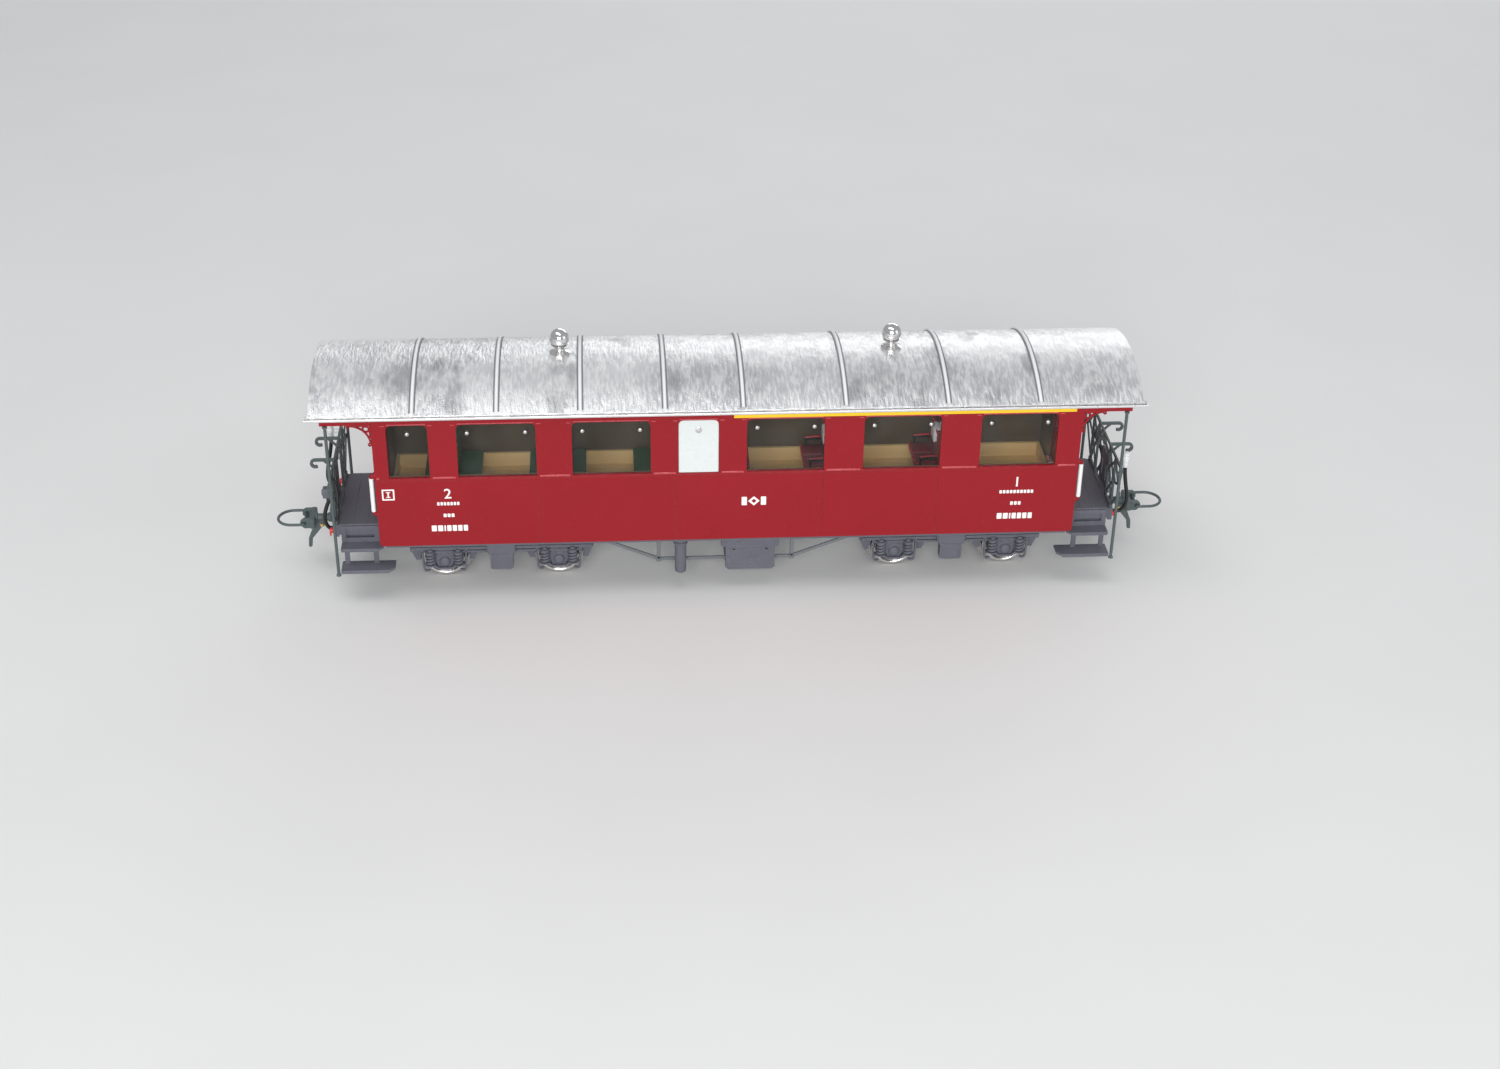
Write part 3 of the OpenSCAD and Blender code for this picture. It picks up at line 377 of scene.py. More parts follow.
def facing_x(shape, x):
    """Stands a flat shape up so that its X, Y and Z run along Y, Z and X, from x on."""
    return turned(shape, Matrix(((0, 0, 1, x), (1, 0, 0, 0), (0, 1, 0, 0), (0, 0, 0, 1))))


def signed_area(points):
    return sum(a[0] * b[1] - b[0] * a[1] for a, b in zip(points, points[1:] + points[:1])) / 2


def inset(points, gap):
    """A loop moved to its left by gap, with mitred corners."""
    moved_points = []
    count = len(points)
    for i, here in enumerate(points):
        here = Vector(here)
        before = (here - Vector(points[i - 1])).normalized()
        after = (Vector(points[(i + 1) % count]) - here).normalized()
        left_before, left_after = Vector((-before.y, before.x)), Vector((-after.y, after.x))
        mitre = left_before + left_after
        moved_points.append(here + mitre * (gap / max(0.4, mitre.dot(left_before))))
    return moved_points


def plate(outlines, thick, edge=0.05):
    """A plate from Z 0 to thick of an outer outline and its holes, with chamfered edges."""
    loops = []
    for i, outline in enumerate(outlines):
        outline = [tuple(p) for p in outline]
        if (signed_area(outline) > 0) == (i > 0):
            outline.reverse()
        loops.append(outline)
    levels = [(0, edge), (edge, 0), (thick - edge, 0), (thick, edge)]
    flat = [[Vector((*p, 0)) for p in inset(loop, edge)] for loop in loops]
    count = sum(len(loop) for loop in loops)
    points = [
        Vector((*p, height)) for height, gap in levels for loop in loops for p in inset(loop, gap)]
    faces = []
    start = 0
    for loop in loops:
        for level in range(len(levels) - 1):
            for i in range(len(loop)):
                low, high = level * count + start, (level + 1) * count + start
                after = (i + 1) % len(loop)
                faces.append((low + i, low + after, high + after, high + i))
        start += len(loop)
    for a, b, c in mathutils.geometry.tessellate_polygon(flat):
        corners = [points[k].xy for k in (a, b, c)]
        if signed_area(corners) < 0:
            b, c = c, b
        top = (len(levels) - 1) * count
        faces += [(a, c, b), (top + a, top + b, top + c)]
    return points, faces


def rounded(corners, radius=0.3, steps=4):
    """A polygon with its corners rounded. Radius is one number or one for each corner."""
    radii = radius if isinstance(radius, (list, tuple)) else [radius] * len(corners)
    points = []
    for i, corner in enumerate(corners):
        here = Vector(corner)
        back = Vector(corners[i - 1]) - here
        ahead = Vector(corners[(i + 1) % len(corners)]) - here
        half = back.angle(ahead) / 2
        reach = min(radii[i] / math.tan(half), back.length * 0.49, ahead.length * 0.49)
        if reach < 1e-4:
            points.append(here)
            continue
        start, end = here + back.normalized() * reach, here + ahead.normalized() * reach
        for k in range(steps + 1):
            t = k / steps
            points.append(start * (1 - t) ** 2 + here * 2 * t * (1 - t) + end * t * t)
    return points


def rectangle(x0, y0, x1, y1):
    return [(x0, y0), (x1, y0), (x1, y1), (x0, y1)]


def eased(x0, y0, x1, y1, radius=0.3, steps=4):
    """A rectangle with rounded corners."""
    return rounded(rectangle(x0, y0, x1, y1), radius, steps)


def arc(centre, radius, start, end, steps=12):
    """Points along an arc, in degrees."""
    turns = [math.radians(start + (end - start) * k / steps) for k in range(steps + 1)]
    return [(centre[0] + radius * math.cos(a), centre[1] + radius * math.sin(a)) for a in turns]


def ring_outline(centre, radius, steps=20):
    return arc(centre, radius, 0, 360, steps)[:-1]


def plate_y(y, outlines, thick, edge=0.05):
    """A plate of outlines drawn in X and Z, from y on."""
    return facing_y(plate(outlines, thick, edge), y)


def plate_x(x, outlines, thick, edge=0.05):
    """A plate of outlines drawn in Y and Z, from x on."""
    return facing_x(plate(outlines, thick, edge), x)


def block(low, high, edge=0.06):
    """A box between two corners with all its edges eased."""
    return moved(
        plate([eased(low[0], low[1], high[0], high[1], edge, 1)], high[2] - low[2], edge),
        0, 0, low[2])


def lathe(profile, sides=32, closed=False):
    """(radius, height) points turned about Z. A closed profile makes a ring."""
    points, rows = [], []
    for radius, height in profile:
        if radius == 0:
            rows.append([len(points)] * sides)
            points.append(Vector((0, 0, height)))
            continue
        rows.append([len(points) + k for k in range(sides)])
        points += [Vector((radius * math.cos(math.tau * k / sides),
                           radius * math.sin(math.tau * k / sides), height)) for k in range(sides)]
    faces = []
    for low, high in zip(rows, rows[1:] + (rows[:1] if closed else [])):
        for k in range(sides):
            after = (k + 1) % sides
            face = dict.fromkeys((low[k], low[after], high[after], high[k]))
            if len(face) > 2:
                faces.append(tuple(face))
    return points, faces


def dome(radius, height, start, end, steps=6):
    """Profile points of a sphere round (0, height), from one angle above its equator to another."""
    return [(max(0, round(r, 6)), z) for r, z in arc((0, height), radius, start, end, steps)]


def lying_x(shape):
    """Turns a shape that stands along Z so that it lies along X."""
    return rotated(shape, 90, "Y")


def lying_y(shape):
    """Turns a shape that stands along Z so that it lies along Y."""
    return rotated(shape, -90, "X")


def smooth(route, steps=5):
    """A route of points with more between them, on a smooth curve through all of them."""
    route = [Vector(p) for p in route]
    padded = [route[0]] + route + [route[-1]]
    points = []
    for a, b, c, d in zip(padded, padded[1:], padded[2:], padded[3:]):
        for k in range(steps):
            t = k / steps
            points.append(0.5 * (2 * b + (c - a) * t + (2 * a - 5 * b + 4 * c - d) * t ** 2
                                 + (3 * b - a - 3 * c + d) * t ** 3))
    return points + [route[-1]]


def cushion(low, high, radius=0.35, crown=0.15):
    """A box with soft rounded edges whose top is crowned."""
    low, high = Vector(low), Vector(high)
    half, middle = (high - low) / 2, (high + low) / 2
    bend = [radius * (1 - math.cos(math.radians(a))) for a in (0, 30, 60, 90)]
    rows = []
    for h in half:
        near = [-h + b for b in bend]
        rows.append(near + [-h / 2, 0, h / 2] + [-v for v in reversed(near)])
    bm = bmesh.new()
    for axis in range(3):
        u, v = [i for i in range(3) if i != axis]
        for side in (-1, 1):
            grid = []
            for a in rows[u]:
                line = []
                for b in rows[v]:
                    p = Vector((0, 0, 0))
                    p[axis], p[u], p[v] = side * half[axis], a, b
                    core = Vector([max(-h + radius, min(h - radius, c)) for c, h in zip(p, half)])
                    out = p - core
                    if out.length > 1e-6:
                        p = core + out.normalized() * radius
                    rise = (1 - (p.x / half.x) ** 2) * (1 - (p.y / half.y) ** 2)
                    p.z += (crown * rise * (0.5 + 0.5 * p.z / half.z)
                            - crown * 0.5 * (1 + p.z / half.z) * 0.5)
                    line.append(bm.verts.new(middle + p))
                grid.append(line)
            for line, after in zip(grid, grid[1:]):
                for k in range(len(line) - 1):
                    bm.faces.new((line[k], line[k + 1], after[k + 1], after[k]))
    bmesh.ops.remove_doubles(bm, verts=bm.verts, dist=1e-4)
    mesh = bpy.data.meshes.new("cushion")
    bm.to_mesh(mesh)
    bm.free()
    return shape_of(mesh)


def shape_of(mesh):
    shape = ([v.co.copy() for v in mesh.vertices], [tuple(p.vertices) for p in mesh.polygons])
    bpy.data.meshes.remove(mesh)
    return shape


def mesh_of(name, points, faces, edges=()):
    mesh = bpy.data.meshes.new(name)
    mesh.from_pydata([tuple(p) for p in points], list(edges), faces)
    return mesh


def make(name, finish, shape, replaces=(), crease=38, body="coach"):
    """Writes a shape as a finished piece in metres that rides on a body and stands for CAD nodes."""
    points, faces = shape
    mesh = mesh_of(name, [p * MM for p in points], faces)
    bm = bmesh.new()
    bm.from_mesh(mesh)
    bmesh.ops.recalc_face_normals(bm, faces=bm.faces)
    bm.to_mesh(mesh)
    bm.free()
    mesh.shade_smooth()
    mesh.set_sharp_from_angle(angle=math.radians(crease))
    mesh.materials.append(FINISH[finish])
    piece = bpy.data.objects.new(name, mesh)
    bpy.context.scene.collection.objects.link(piece)
    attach(piece, body)
    if replaces:
        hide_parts(*replaces)
    return piece


# ---- Geometry trees for what repeats or follows a path ----


class Pattern(Graph):
    """A geometry tree with named inputs that ends in Realize Instances and Set Material."""

    def __init__(self, name, **inputs):
        self.group = bpy.data.node_groups.new(name, "GeometryNodeTree")
        super().__init__(self.group)
        face = self.group.interface
        face.new_socket("Geometry", in_out="INPUT", socket_type="NodeSocketGeometry")
        face.new_socket("Geometry", in_out="OUTPUT", socket_type="NodeSocketGeometry")
        self.sockets = {
            label: face.new_socket(label, in_out="INPUT", socket_type="NodeSocket" + kind).identifier
            for label, kind in {**inputs, "Finish": "Material"}.items()}
        self.start = self.node("NodeGroupInput")

    def close(self, geometry):
        real = self.node("GeometryNodeRealizeInstances", sockets={"Geometry": geometry})
        dressed = self.node("GeometryNodeSetMaterial", sockets={
            "Geometry": real, "Material": self.start.other("Finish")})
        end = self.tree.nodes.new("NodeGroupOutput")
        self.feed(end.inputs[0], dressed)
        return self

    def grow(self, points, edges=(), turns=None, **values):
        """The tree's result on the given points, as a shape. Turns are a rotation for each point."""
        mesh = mesh_of("carrier", points, [], edges)
        if turns:
            held = mesh.attributes.new("turn", "FLOAT_VECTOR", "POINT")
            held.data.foreach_set("vector", [angle for turn in turns for angle in turn])
        carrier = bpy.data.objects.new("carrier", mesh)
        bpy.context.scene.collection.objects.link(carrier)
        modifier = carrier.modifiers.new("grow", "NODES")
        modifier.node_group = self.group
        for label, value in values.items():
            modifier[self.sockets[label]] = value
        seen = carrier.evaluated_get(bpy.context.evaluated_depsgraph_get())
        made = bpy.data.meshes.new_from_object(seen)
        carrier.modifiers.remove(modifier)
        bpy.data.objects.remove(carrier)
        bpy.data.meshes.remove(mesh)
        return shape_of(made)


def flat_bar_pattern():
    """Flat bars with eased edges along flat paths."""
    p = Pattern("flat_bars", Width="Float", Thickness="Float", Edge="Float")
    path = p.node("GeometryNodeMeshToCurve", sockets={"Mesh": p.start.other("Geometry")})
    flat = p.node("GeometryNodeSetCurveNormal", {"mode": "Z_UP"}, {"Curve": path})
    section = p.node("GeometryNodeCurvePrimitiveQuadrilateral", sockets={
        "Width": p.start.other("Width"), "Height": p.start.other("Thickness")})
    eased = p.node("GeometryNodeFilletCurve", {"mode": "POLY"}, {
        "Curve": section, "Radius": p.start.other("Edge"), "Count": 1})
    return p.close(p.node("GeometryNodeCurveToMesh", sockets={
        "Curve": flat, "Profile Curve": eased, "Fill Caps": True}))


def round_bar_pattern():
    """Round bars, wires and hoses along paths."""
    p = Pattern("round_bars", Radius="Float", Sides="Int")
    path = p.node("GeometryNodeMeshToCurve", sockets={"Mesh": p.start.other("Geometry")})
    section = p.node("GeometryNodeCurvePrimitiveCircle", sockets={
        "Radius": p.start.other("Radius"), "Resolution": p.start.other("Sides")})
    return p.close(p.node("GeometryNodeCurveToMesh", sockets={
        "Curve": path, "Profile Curve": section, "Fill Caps": True}))


def spring_pattern():
    """Coil springs standing on points."""
    p = Pattern("coil_springs", Radius="Float", Wire="Float", Height="Float", Turns="Float")
    coil = p.node("GeometryNodeCurveSpiral", sockets={
        "Resolution": 20, "Rotations": p.start.other("Turns"), "Start Radius": p.start.other("Radius"),
        "End Radius": p.start.other("Radius"), "Height": p.start.other("Height")})
    wire = p.node("GeometryNodeCurvePrimitiveCircle", sockets={
        "Resolution": 8, "Radius": p.start.other("Wire")})
    spring = p.node("GeometryNodeCurveToMesh", sockets={
        "Curve": coil, "Profile Curve": wire, "Fill Caps": True})
    return p.close(p.node("GeometryNodeInstanceOnPoints", sockets={
        "Points": p.start.other("Geometry"), "Instance": spring}))


def set_out_pattern():
    """One object repeated on points, each turned by the point's own turn."""
    p = Pattern("set_out", Object="Object")
    shown = p.node("GeometryNodeObjectInfo", sockets={"Object": p.start.other("Object")}, out="Geometry")
    turn = p.node("GeometryNodeInputNamedAttribute", {"data_type": "FLOAT_VECTOR"}, {"Name": "turn"})
    return p.close(p.node("GeometryNodeInstanceOnPoints", sockets={
        "Points": p.start.other("Geometry"), "Instance": shown, "Rotation": turn}))


FLAT_BARS, ROUND_BARS = flat_bar_pattern(), round_bar_pattern()
SPRINGS, SET_OUT = spring_pattern(), set_out_pattern()


def linked(paths, closed=False):
    """Points and edges of several paths."""
    points, edges = [], []
    for path in paths:
        start = len(points)
        points += [Vector((*p, 0)) if len(p) == 2 else Vector(p) for p in path]
        edges += [(k, k + 1) for k in range(start, len(points) - 1)]
        if closed:
            edges.append((len(points) - 1, start))
    return points, edges


def straps(paths, width, thick, edge=0.08):
    """Flat bars along paths in X and Y, from Z 0 to thick."""
    points, edges = linked(paths)
    bars = FLAT_BARS.grow(points, edges, Width=width, Thickness=thick, Edge=edge)
    return moved(bars, 0, 0, thick / 2)


def rods(paths, thick, sides=12, closed=False):
    """Round bars of a given diameter along paths."""
    points, edges = linked(paths, closed)
    return ROUND_BARS.grow(points, edges, Radius=thick / 2, Sides=sides)


def set_out(shape, places, turns=None):
    """A shape repeated at places, each with its own rotation in radians."""
    mesh = mesh_of("pattern", *shape)
    sample = bpy.data.objects.new("pattern", mesh)
    bpy.context.scene.collection.objects.link(sample)
    made = SET_OUT.grow(places, turns=turns or [(0, 0, 0)] * len(places), Object=sample)
    bpy.data.objects.remove(sample)
    bpy.data.meshes.remove(mesh)
    return made


# ---- Driving places, from the frame ----

rail_top = 0.9
side_low, side_high = box("side_near")
post_low, post_high = box("corner_posts")
floor_high = box("platform_floors")[1]
frame_high = box("underframe")[1]
roof_low, roof_high = box("roof_sheet")

bead = 0.12
wall_x = side_high.x
wall_y = -side_low.y - bead
wall_t = 0.8
inner_y = wall_y - wall_t
skirt_z, eaves_z = side_low.z, side_high.z
sill_z, head_z = rail_top + 25.9, rail_top + 36.9
wide_window, narrow_window = 14.4, 7.5
# Window centres along the coach, with the narrow panes marked true.
WINDOWS = [
    (-59.05, True), (-42.9, False), (-21.9, False), (-5.85, True),
    (10.25, False), (31.95, False), (53.8, False)]
TOILET = WINDOWS[3]
SEAMS = [-35.6, -10, 17.4, 39]
RIBS = [-57.8, -42.6, -27.4, -12, 2.3, 21.2, 40.1, 57.2]

post_d = 0.7
post_x = post_high.x - post_d / 2
deck_z = floor_high.z
deck_y = floor_high.y
headstock_x = frame_high.x
headstock_t = 0.8
floor_under = 11.5
railing_top = box("end_railings")[1].z
fascia_z = post_high.z

roof_r = 31.0
roof_half = roof_high.y
roof_t = 0.7
roof_axis = roof_high.z - roof_r
ceiling_r = roof_r - roof_t


def at_rail(height):
    """A height above the rail top, in the coach's frame."""
    return height + rail_top


def window_span(window):
    half = (narrow_window if window[1] else wide_window) / 2
    return window[0] - half, window[0] + half


def window_outline(window, gap=0.0, radius=1.1):
    x0, x1 = window_span(window)
    corners = rectangle(x0 + gap, sill_z + gap, x1 - gap, head_z - gap)
    return rounded(corners, [0.2, 0.2, radius, radius], 5)


# ---- Body ----


def side_wall():
    """The near side: a wall with windows, skin panels with open seams and a waist rail."""
    skin = 0.1
    waist = sill_z - 0.5
    holes = [window_outline(w) for w in WINDOWS]
    soft = [0.7, 0.7, 0.05, 0.05]
    core = eased(-wall_x, skirt_z, wall_x, eaves_z, soft)
    parts = [plate_y(-wall_y + skin, [core] + holes, wall_t - skin)]
    upper = rectangle(-wall_x, waist - 0.02, wall_x, eaves_z)
    parts.append(plate_y(-wall_y, [upper] + holes, skin + 0.02, 0.03))
    stops = [-wall_x] + SEAMS + [wall_x]
    gap = 0.07
    for i, (x0, x1) in enumerate(zip(stops, stops[1:])):
        left = 0 if i == 0 else gap
        right = 0 if i == len(SEAMS) else gap
        radii = [0.7 if i == 0 else 0.03, 0.7 if i == len(SEAMS) else 0.03, 0.03, 0.03]
        panel = eased(x0 + left, skirt_z, x1 - right, waist, radii)
        parts.append(plate_y(-wall_y, [panel], skin + 0.02, 0.03))
    parts.append(block((-wall_x + 0.3, -wall_y - 0.06, waist), (wall_x - 0.3, -wall_y + 0.05, waist + 0.3),
                       0.05))
    return joined(*parts)


def drip_strips():
    """Thin strips over each window and on the sill line between the windows, on the near side."""
    strips = []
    for w in WINDOWS:
        x0, x1 = window_span(w)
        strips.append((x0 + 0.2, head_z + 0.1, x1 - 0.2, head_z + 0.36))
        for x in (x0 - 1.0, x1 + 0.15):
            strips.append((x, head_z - 0.1, x + 0.85, head_z + 0.12))
    for before, after in zip(WINDOWS, WINDOWS[1:]):
        strips.append((window_span(before)[1] + 0.5, sill_z - 0.1, window_span(after)[0] - 0.5,
                       sill_z + 0.3))
    strips.append((-wall_x + 0.3, sill_z - 0.1, -wall_x + 0.9, sill_z + 0.3))
    strips.append((window_span(WINDOWS[-1])[1] + 0.5, sill_z - 0.1, wall_x - 0.6, sill_z + 0.3))
    return joined(*(block((x0, -wall_y - bead, z0), (x1, -wall_y + 0.05, z1), 0.07)
                    for x0, z0, x1, z1 in strips))


def end_wall():
    """The right-hand end: a boarded wall under the roof's curve with a framed doorway and rail elbows."""
    door_half, door_top = 4.2, at_rail(34.6)
    low = at_rail(12)
    edge_r = ceiling_r - 0.05
    half_turn = math.degrees(math.acos(inner_y / edge_r))
    crown = arc((0, roof_axis), edge_r, half_turn, 180 - half_turn, 40)
    outline = [(-inner_y, low), (inner_y, low)] + crown
    doorway = eased(-door_half, deck_z, door_half, door_top, [0.05, 0.05, 0.6, 0.6])
    parts = [plate_x(wall_x - wall_t, [outline, doorway], wall_t - 0.1)]
    for side in (-1, 1):
        for x0, x1 in ((5.2, 8.1), (8.2, 11.1), (11.2, 14.1)):
            z1 = roof_axis + math.sqrt(edge_r ** 2 - x1 ** 2) - 0.6
            ends = sorted((side * x0, side * x1))
            board = eased(ends[0], low + 1.6, ends[1], z1, 0.1, 2)
            parts.append(plate_x(wall_x - 0.16, [board], 0.16, 0.04))
    frame_out = eased(-door_half - 0.6, deck_z, door_half + 0.6, door_top + 0.6, [0.05, 0.05, 0.9, 0.9])
    parts.append(plate_x(wall_x - 0.15, [frame_out, doorway], 0.3, 0.08))
    rail_x, rail_y = wall_x + 0.7, 14.6
    for z, toward in ((at_rail(18.3), 1), (at_rail(26.4), -1)):
        bend = smooth([(wall_x - 0.2, rail_y, z), (wall_x + 0.25, rail_y, z),
                       (wall_x + 0.6, rail_y, z + toward * 0.12), (rail_x, rail_y, z + toward * 0.7)], 5)
        parts.append(both_sides(rods([bend], 0.78, 16)))
        collar = lathe([(0, 0), (0.75, 0), (0.75, 0.2), (0.5, 0.34), (0, 0.34)], 20)
        parts.append(both_sides(moved(lying_x(collar), wall_x - 0.05, rail_y, z)))
    return joined(*parts)


def end_door():
    """A panelled door leaf with a window and hinges."""
    half, low, high = 4.12, deck_z + 0.1, at_rail(34.5)
    pane = eased(-2.6, at_rail(24.6), 2.6, at_rail(32.8), [0.2, 0.2, 0.8, 0.8])
    leaf = rectangle(-half, low, half, high)
    parts = [plate_x(wall_x - 0.7, [leaf, pane], 0.4)]
    parts.append(plate_x(wall_x - 0.35,
                         [eased(-3.0, at_rail(24.2), 3.0, at_rail(33.2), 0.6),
                          eased(-2.5, at_rail(24.7), 2.5, at_rail(32.7), 0.6)], 0.25, 0.06))
    for z0, z1 in ((at_rail(14.6), at_rail(18.6)), (at_rail(19.2), at_rail(23.2))):
        rim = eased(-3.1, z0, 3.1, z1, 0.25)
        hollow = eased(-2.7, z0 + 0.4, 2.7, z1 - 0.4, 0.25)
        parts.append(plate_x(wall_x - 0.35, [rim, hollow], 0.16, 0.05))
        field = eased(-2.3, z0 + 0.8, 2.3, z1 - 0.8, 0.2)
        parts.append(plate_x(wall_x - 0.35, [field], 0.12, 0.05))
    knuckle = lathe([(0, 0), (0.22, 0), (0.22, 1.1), (0, 1.1)], 14)
    parts.append(set_out(knuckle, [(wall_x - 0.25, -half + 0.1, z) for z in (17.5, 24.5, 32)]))
    return joined(*parts)


def body():
    near = side_wall()
    make("side_panel_near", "body_red", near, ["side_near"])
    make("side_panel_far", "body_red", mirrored(near, Y), ["side_far"])
    # The drip and sill strips are body red on the coach; their lighter trim red is painted highlight.
    make("window_drip_strips", "trim_red", both_sides(drip_strips()))
    wall = end_wall()
    make("end_panel_right", "body_red", wall, ["end_wall_right"])
    make("end_panel_left", "body_red", mirrored(wall, X), ["end_wall_left"])
    make("end_door_leaves", "body_red", turned_pair(end_door()), ["end_doors"])
    lever = rods([smooth([(0.45, 0, 0), (0.62, -0.3, 0), (0.6, -0.9, -0.04), (0.5, -1.4, 0.06)], 5)], 0.3,
                 10)
    rose = lying_x(lathe([(0, 0), (0.5, 0), (0.5, 0.12), (0.28, 0.2), (0.22, 0.5), (0, 0.55)], 20))
    make("door_handle_pair", "door_brass",
         turned_pair(moved(joined(rose, lever), wall_x - 0.2, 3.3, at_rail(22))), ["door_handles"])


def window_fittings():
    """White pane, turn-buttons on black washers that are painted shade round each knob, and the white hand
    rails.
    """
    pane = plate([window_outline(TOILET, 0.04, 1.06)], wall_t - 0.15, 0.08)
    stripe_low, stripe_high = box("class_stripes")
    band = block((stripe_low.x, -wall_y - 0.1, stripe_low.z),
                 (stripe_high.x, -wall_y + 0.02, stripe_high.z), 0.03)
    make("first_class_stripes", "stripe_yellow", both_sides(band), ["class_stripes"])
    make("toilet_window_pane", "pane_white", facing_y(pane, -wall_y + 0.15), ["toilet_pane"])
    knob = lathe([(0, 0), (0.44, 0), (0.46, 0.08), (0.40, 0.18), (0.3, 0.26), (0.16, 0.31), (0, 0.33)], 18)
    washer = lathe([(0, 0), (0.62, 0), (0.62, 0.06), (0.56, 0.1), (0, 0.1)], 18)
    places = []
    for window in WINDOWS:
        if window != TOILET:
            for x in ([0] if window[1] else [-5.3, 5.3]):
                places.append((window[0] + x, -inner_y, head_z - 2.1))
    turns = [TURN_NEAR] * len(places)
    lifted = [(x, y - 0.09, z) for x, y, z in places]
    far_toilet = moved(rotated(knob, -90, "X"), TOILET[0], inner_y + 0.09, head_z - 2.1)
    make("window_turn_buttons", "screw_steel", joined(both_sides(set_out(knob, lifted, turns)), far_toilet),
         ["window_knobs"])
    # The black washers are painted shade: a dark rim round each bright knob.
    make("turn_button_washers", "plinth_black", both_sides(set_out(washer, places, turns)))
    stud = moved(rotated(washer, 90, "X"), TOILET[0], -wall_y + 0.16, head_z - 2.1)
    make("toilet_pane_button", "vent_chrome", stud)
    rail = lathe([(0, 0), (0.3, 0), (0.42, 0.12), (0.42, 7.08), (0.3, 7.2), (0, 7.2)], 20)
    make("white_hand_rails", "rail_white", four_corners(moved(rail, wall_x + 0.7, 14.6, at_rail(18.75))),
         ["grab_rails"])


# ---- Markings: class figures, and plain bars where a real coach has its lettering ----

ink_t = 0.035


def figure(text, height, x, z):
    """A numeral of a given height centred at x and z on the near side."""
    outline = bpy.data.curves.new("figure", "FONT")
    outline.body = text
    outline.size = height * 1.38
    outline.align_x, outline.align_y = "CENTER", "CENTER"
    outline.extrude = ink_t / 2
    outline.offset = 0.03
    outline.resolution_u = 4
    holder = bpy.data.objects.new("figure", outline)
    bpy.context.scene.collection.objects.link(holder)
    shape = shape_of(bpy.data.meshes.new_from_object(
        holder.evaluated_get(bpy.context.evaluated_depsgraph_get())))
    bpy.data.objects.remove(holder)
    bpy.data.curves.remove(outline)
    return moved(facing_y(shape, -wall_y - ink_t / 2), x, 0, z)


def bars(x, z, height, widths, gap=0.3):
    """A row of small plain bars centred at x and z, in place of a line of lettering."""
    total = sum(widths) + gap * (len(widths) - 1)
    left = x - total / 2
    parts = []
    for width in widths:
        bar = eased(left, z - height / 2, left + width, z + height / 2, 0.12, 2)
        parts.append(plate_y(-wall_y - ink_t, [bar], ink_t, 0.01))
        left += width + gap
    return joined(*parts)


def side_marks(way):
    """One side's transfers, seen from that side. Way is -1 where +X is to the viewer's left."""
    marks = []
    short, long = [0.45] * 7, [0.5] * 10
    for text, x, line in (("2", -52.3 * way, short), ("1", 54.1 * way, long)):
        marks.append(figure(text, 2.1, x, at_rail(22.5)))
        marks.append(bars(x, at_rail(20.5), 0.7, line, 0.16))
        marks.append(bars(x, at_rail(18), 0.75, [0.55, 0.55, 0.55], 0.18))
        marks.append(bars(x, at_rail(15.25), 1.25, [0.95, 0.95, 0.3, 0.8, 0.8, 0.8, 0.8], 0.22))
    badge_x, sign_x = 4.5 * way, -63.2 * way
    badge_z, sign_z = at_rail(19.7), at_rail(22.6)
    lozenges = [[(badge_x, badge_z - h), (badge_x + w, badge_z), (badge_x, badge_z + h),
                 (badge_x - w, badge_z)] for w, h in ((1.1, 1.0), (0.5, 0.45))]
    marks.append(plate_y(-wall_y - ink_t, lozenges, ink_t, 0.01))
    for offset in (-1.8, 1.8):
        marks.append(bars(badge_x + offset, badge_z, 1.8, [1.0], 0))
    square = [
        eased(sign_x - half, sign_z - half, sign_x + half, sign_z + half, 0.1, 2)
        for half in (1.15, 0.87)]
    marks.append(plate_y(-wall_y - ink_t, square, ink_t, 0.01))
    marks.append(bars(sign_x, sign_z, 0.9, [0.28], 0))
    for rise in (-0.5, 0.5):
        marks.append(bars(sign_x, sign_z + rise, 0.2, [0.8], 0))
    return joined(*marks)


def markings():
    make("transfer_marks", "transfer_white", joined(side_marks(1), rotated(side_marks(-1), 180, "Z")))


# ---- Roof ----


def vault_pattern():
    """A thin sheet bent to an arc about X and dished by gentle dents."""
    p = Pattern("vaulted_roof", Length="Float", Radius="Float", Half="Float", Thickness="Float",
                Dent="Float")
    ask = p.start.other
    grid = p.node("GeometryNodeMeshGrid", sockets={
        "Size X": ask("Length"), "Size Y": ask("Half") * 2, "Vertices X": 400, "Vertices Y": 90})
    place = p.node("GeometryNodeInputPosition")
    split = p.node("ShaderNodeSeparateXYZ", sockets={0: place})
    lumps = p.node("ShaderNodeTexNoise", sockets={"Vector": p.node(
        "ShaderNodeVectorMath", {"operation": "MULTIPLY"}, {0: place, 1: (1, 31, 1)}),
        "Scale": 0.11, "Detail": 3.0})
    angle = split.other("Y")
    share = angle / ask("Half")
    near_edge = share * share * share * share
    radius = ask("Radius") - lumps * ask("Dent") * (1 - near_edge)
    bent = p.node("ShaderNodeCombineXYZ", sockets={
        0: split, 1: radius * angle.calc("SINE", angle), 2: radius * angle.calc("COSINE", angle)})
    sheet = p.node("GeometryNodeSetPosition", sockets={"Geometry": grid, "Position": bent})
    under = p.node("GeometryNodeFlipFaces", sockets={"Mesh": sheet})
    raised = p.node("GeometryNodeExtrudeMesh", sockets={
        "Mesh": sheet, "Offset Scale": ask("Thickness") * -1, "Individual": False})
    both = p.node("GeometryNodeJoinGeometry", sockets={"Geometry": [raised, under]})
    closed = p.node("GeometryNodeMergeByDistance", sockets={"Geometry": both, "Distance": 0.001})
    return p.close(closed)


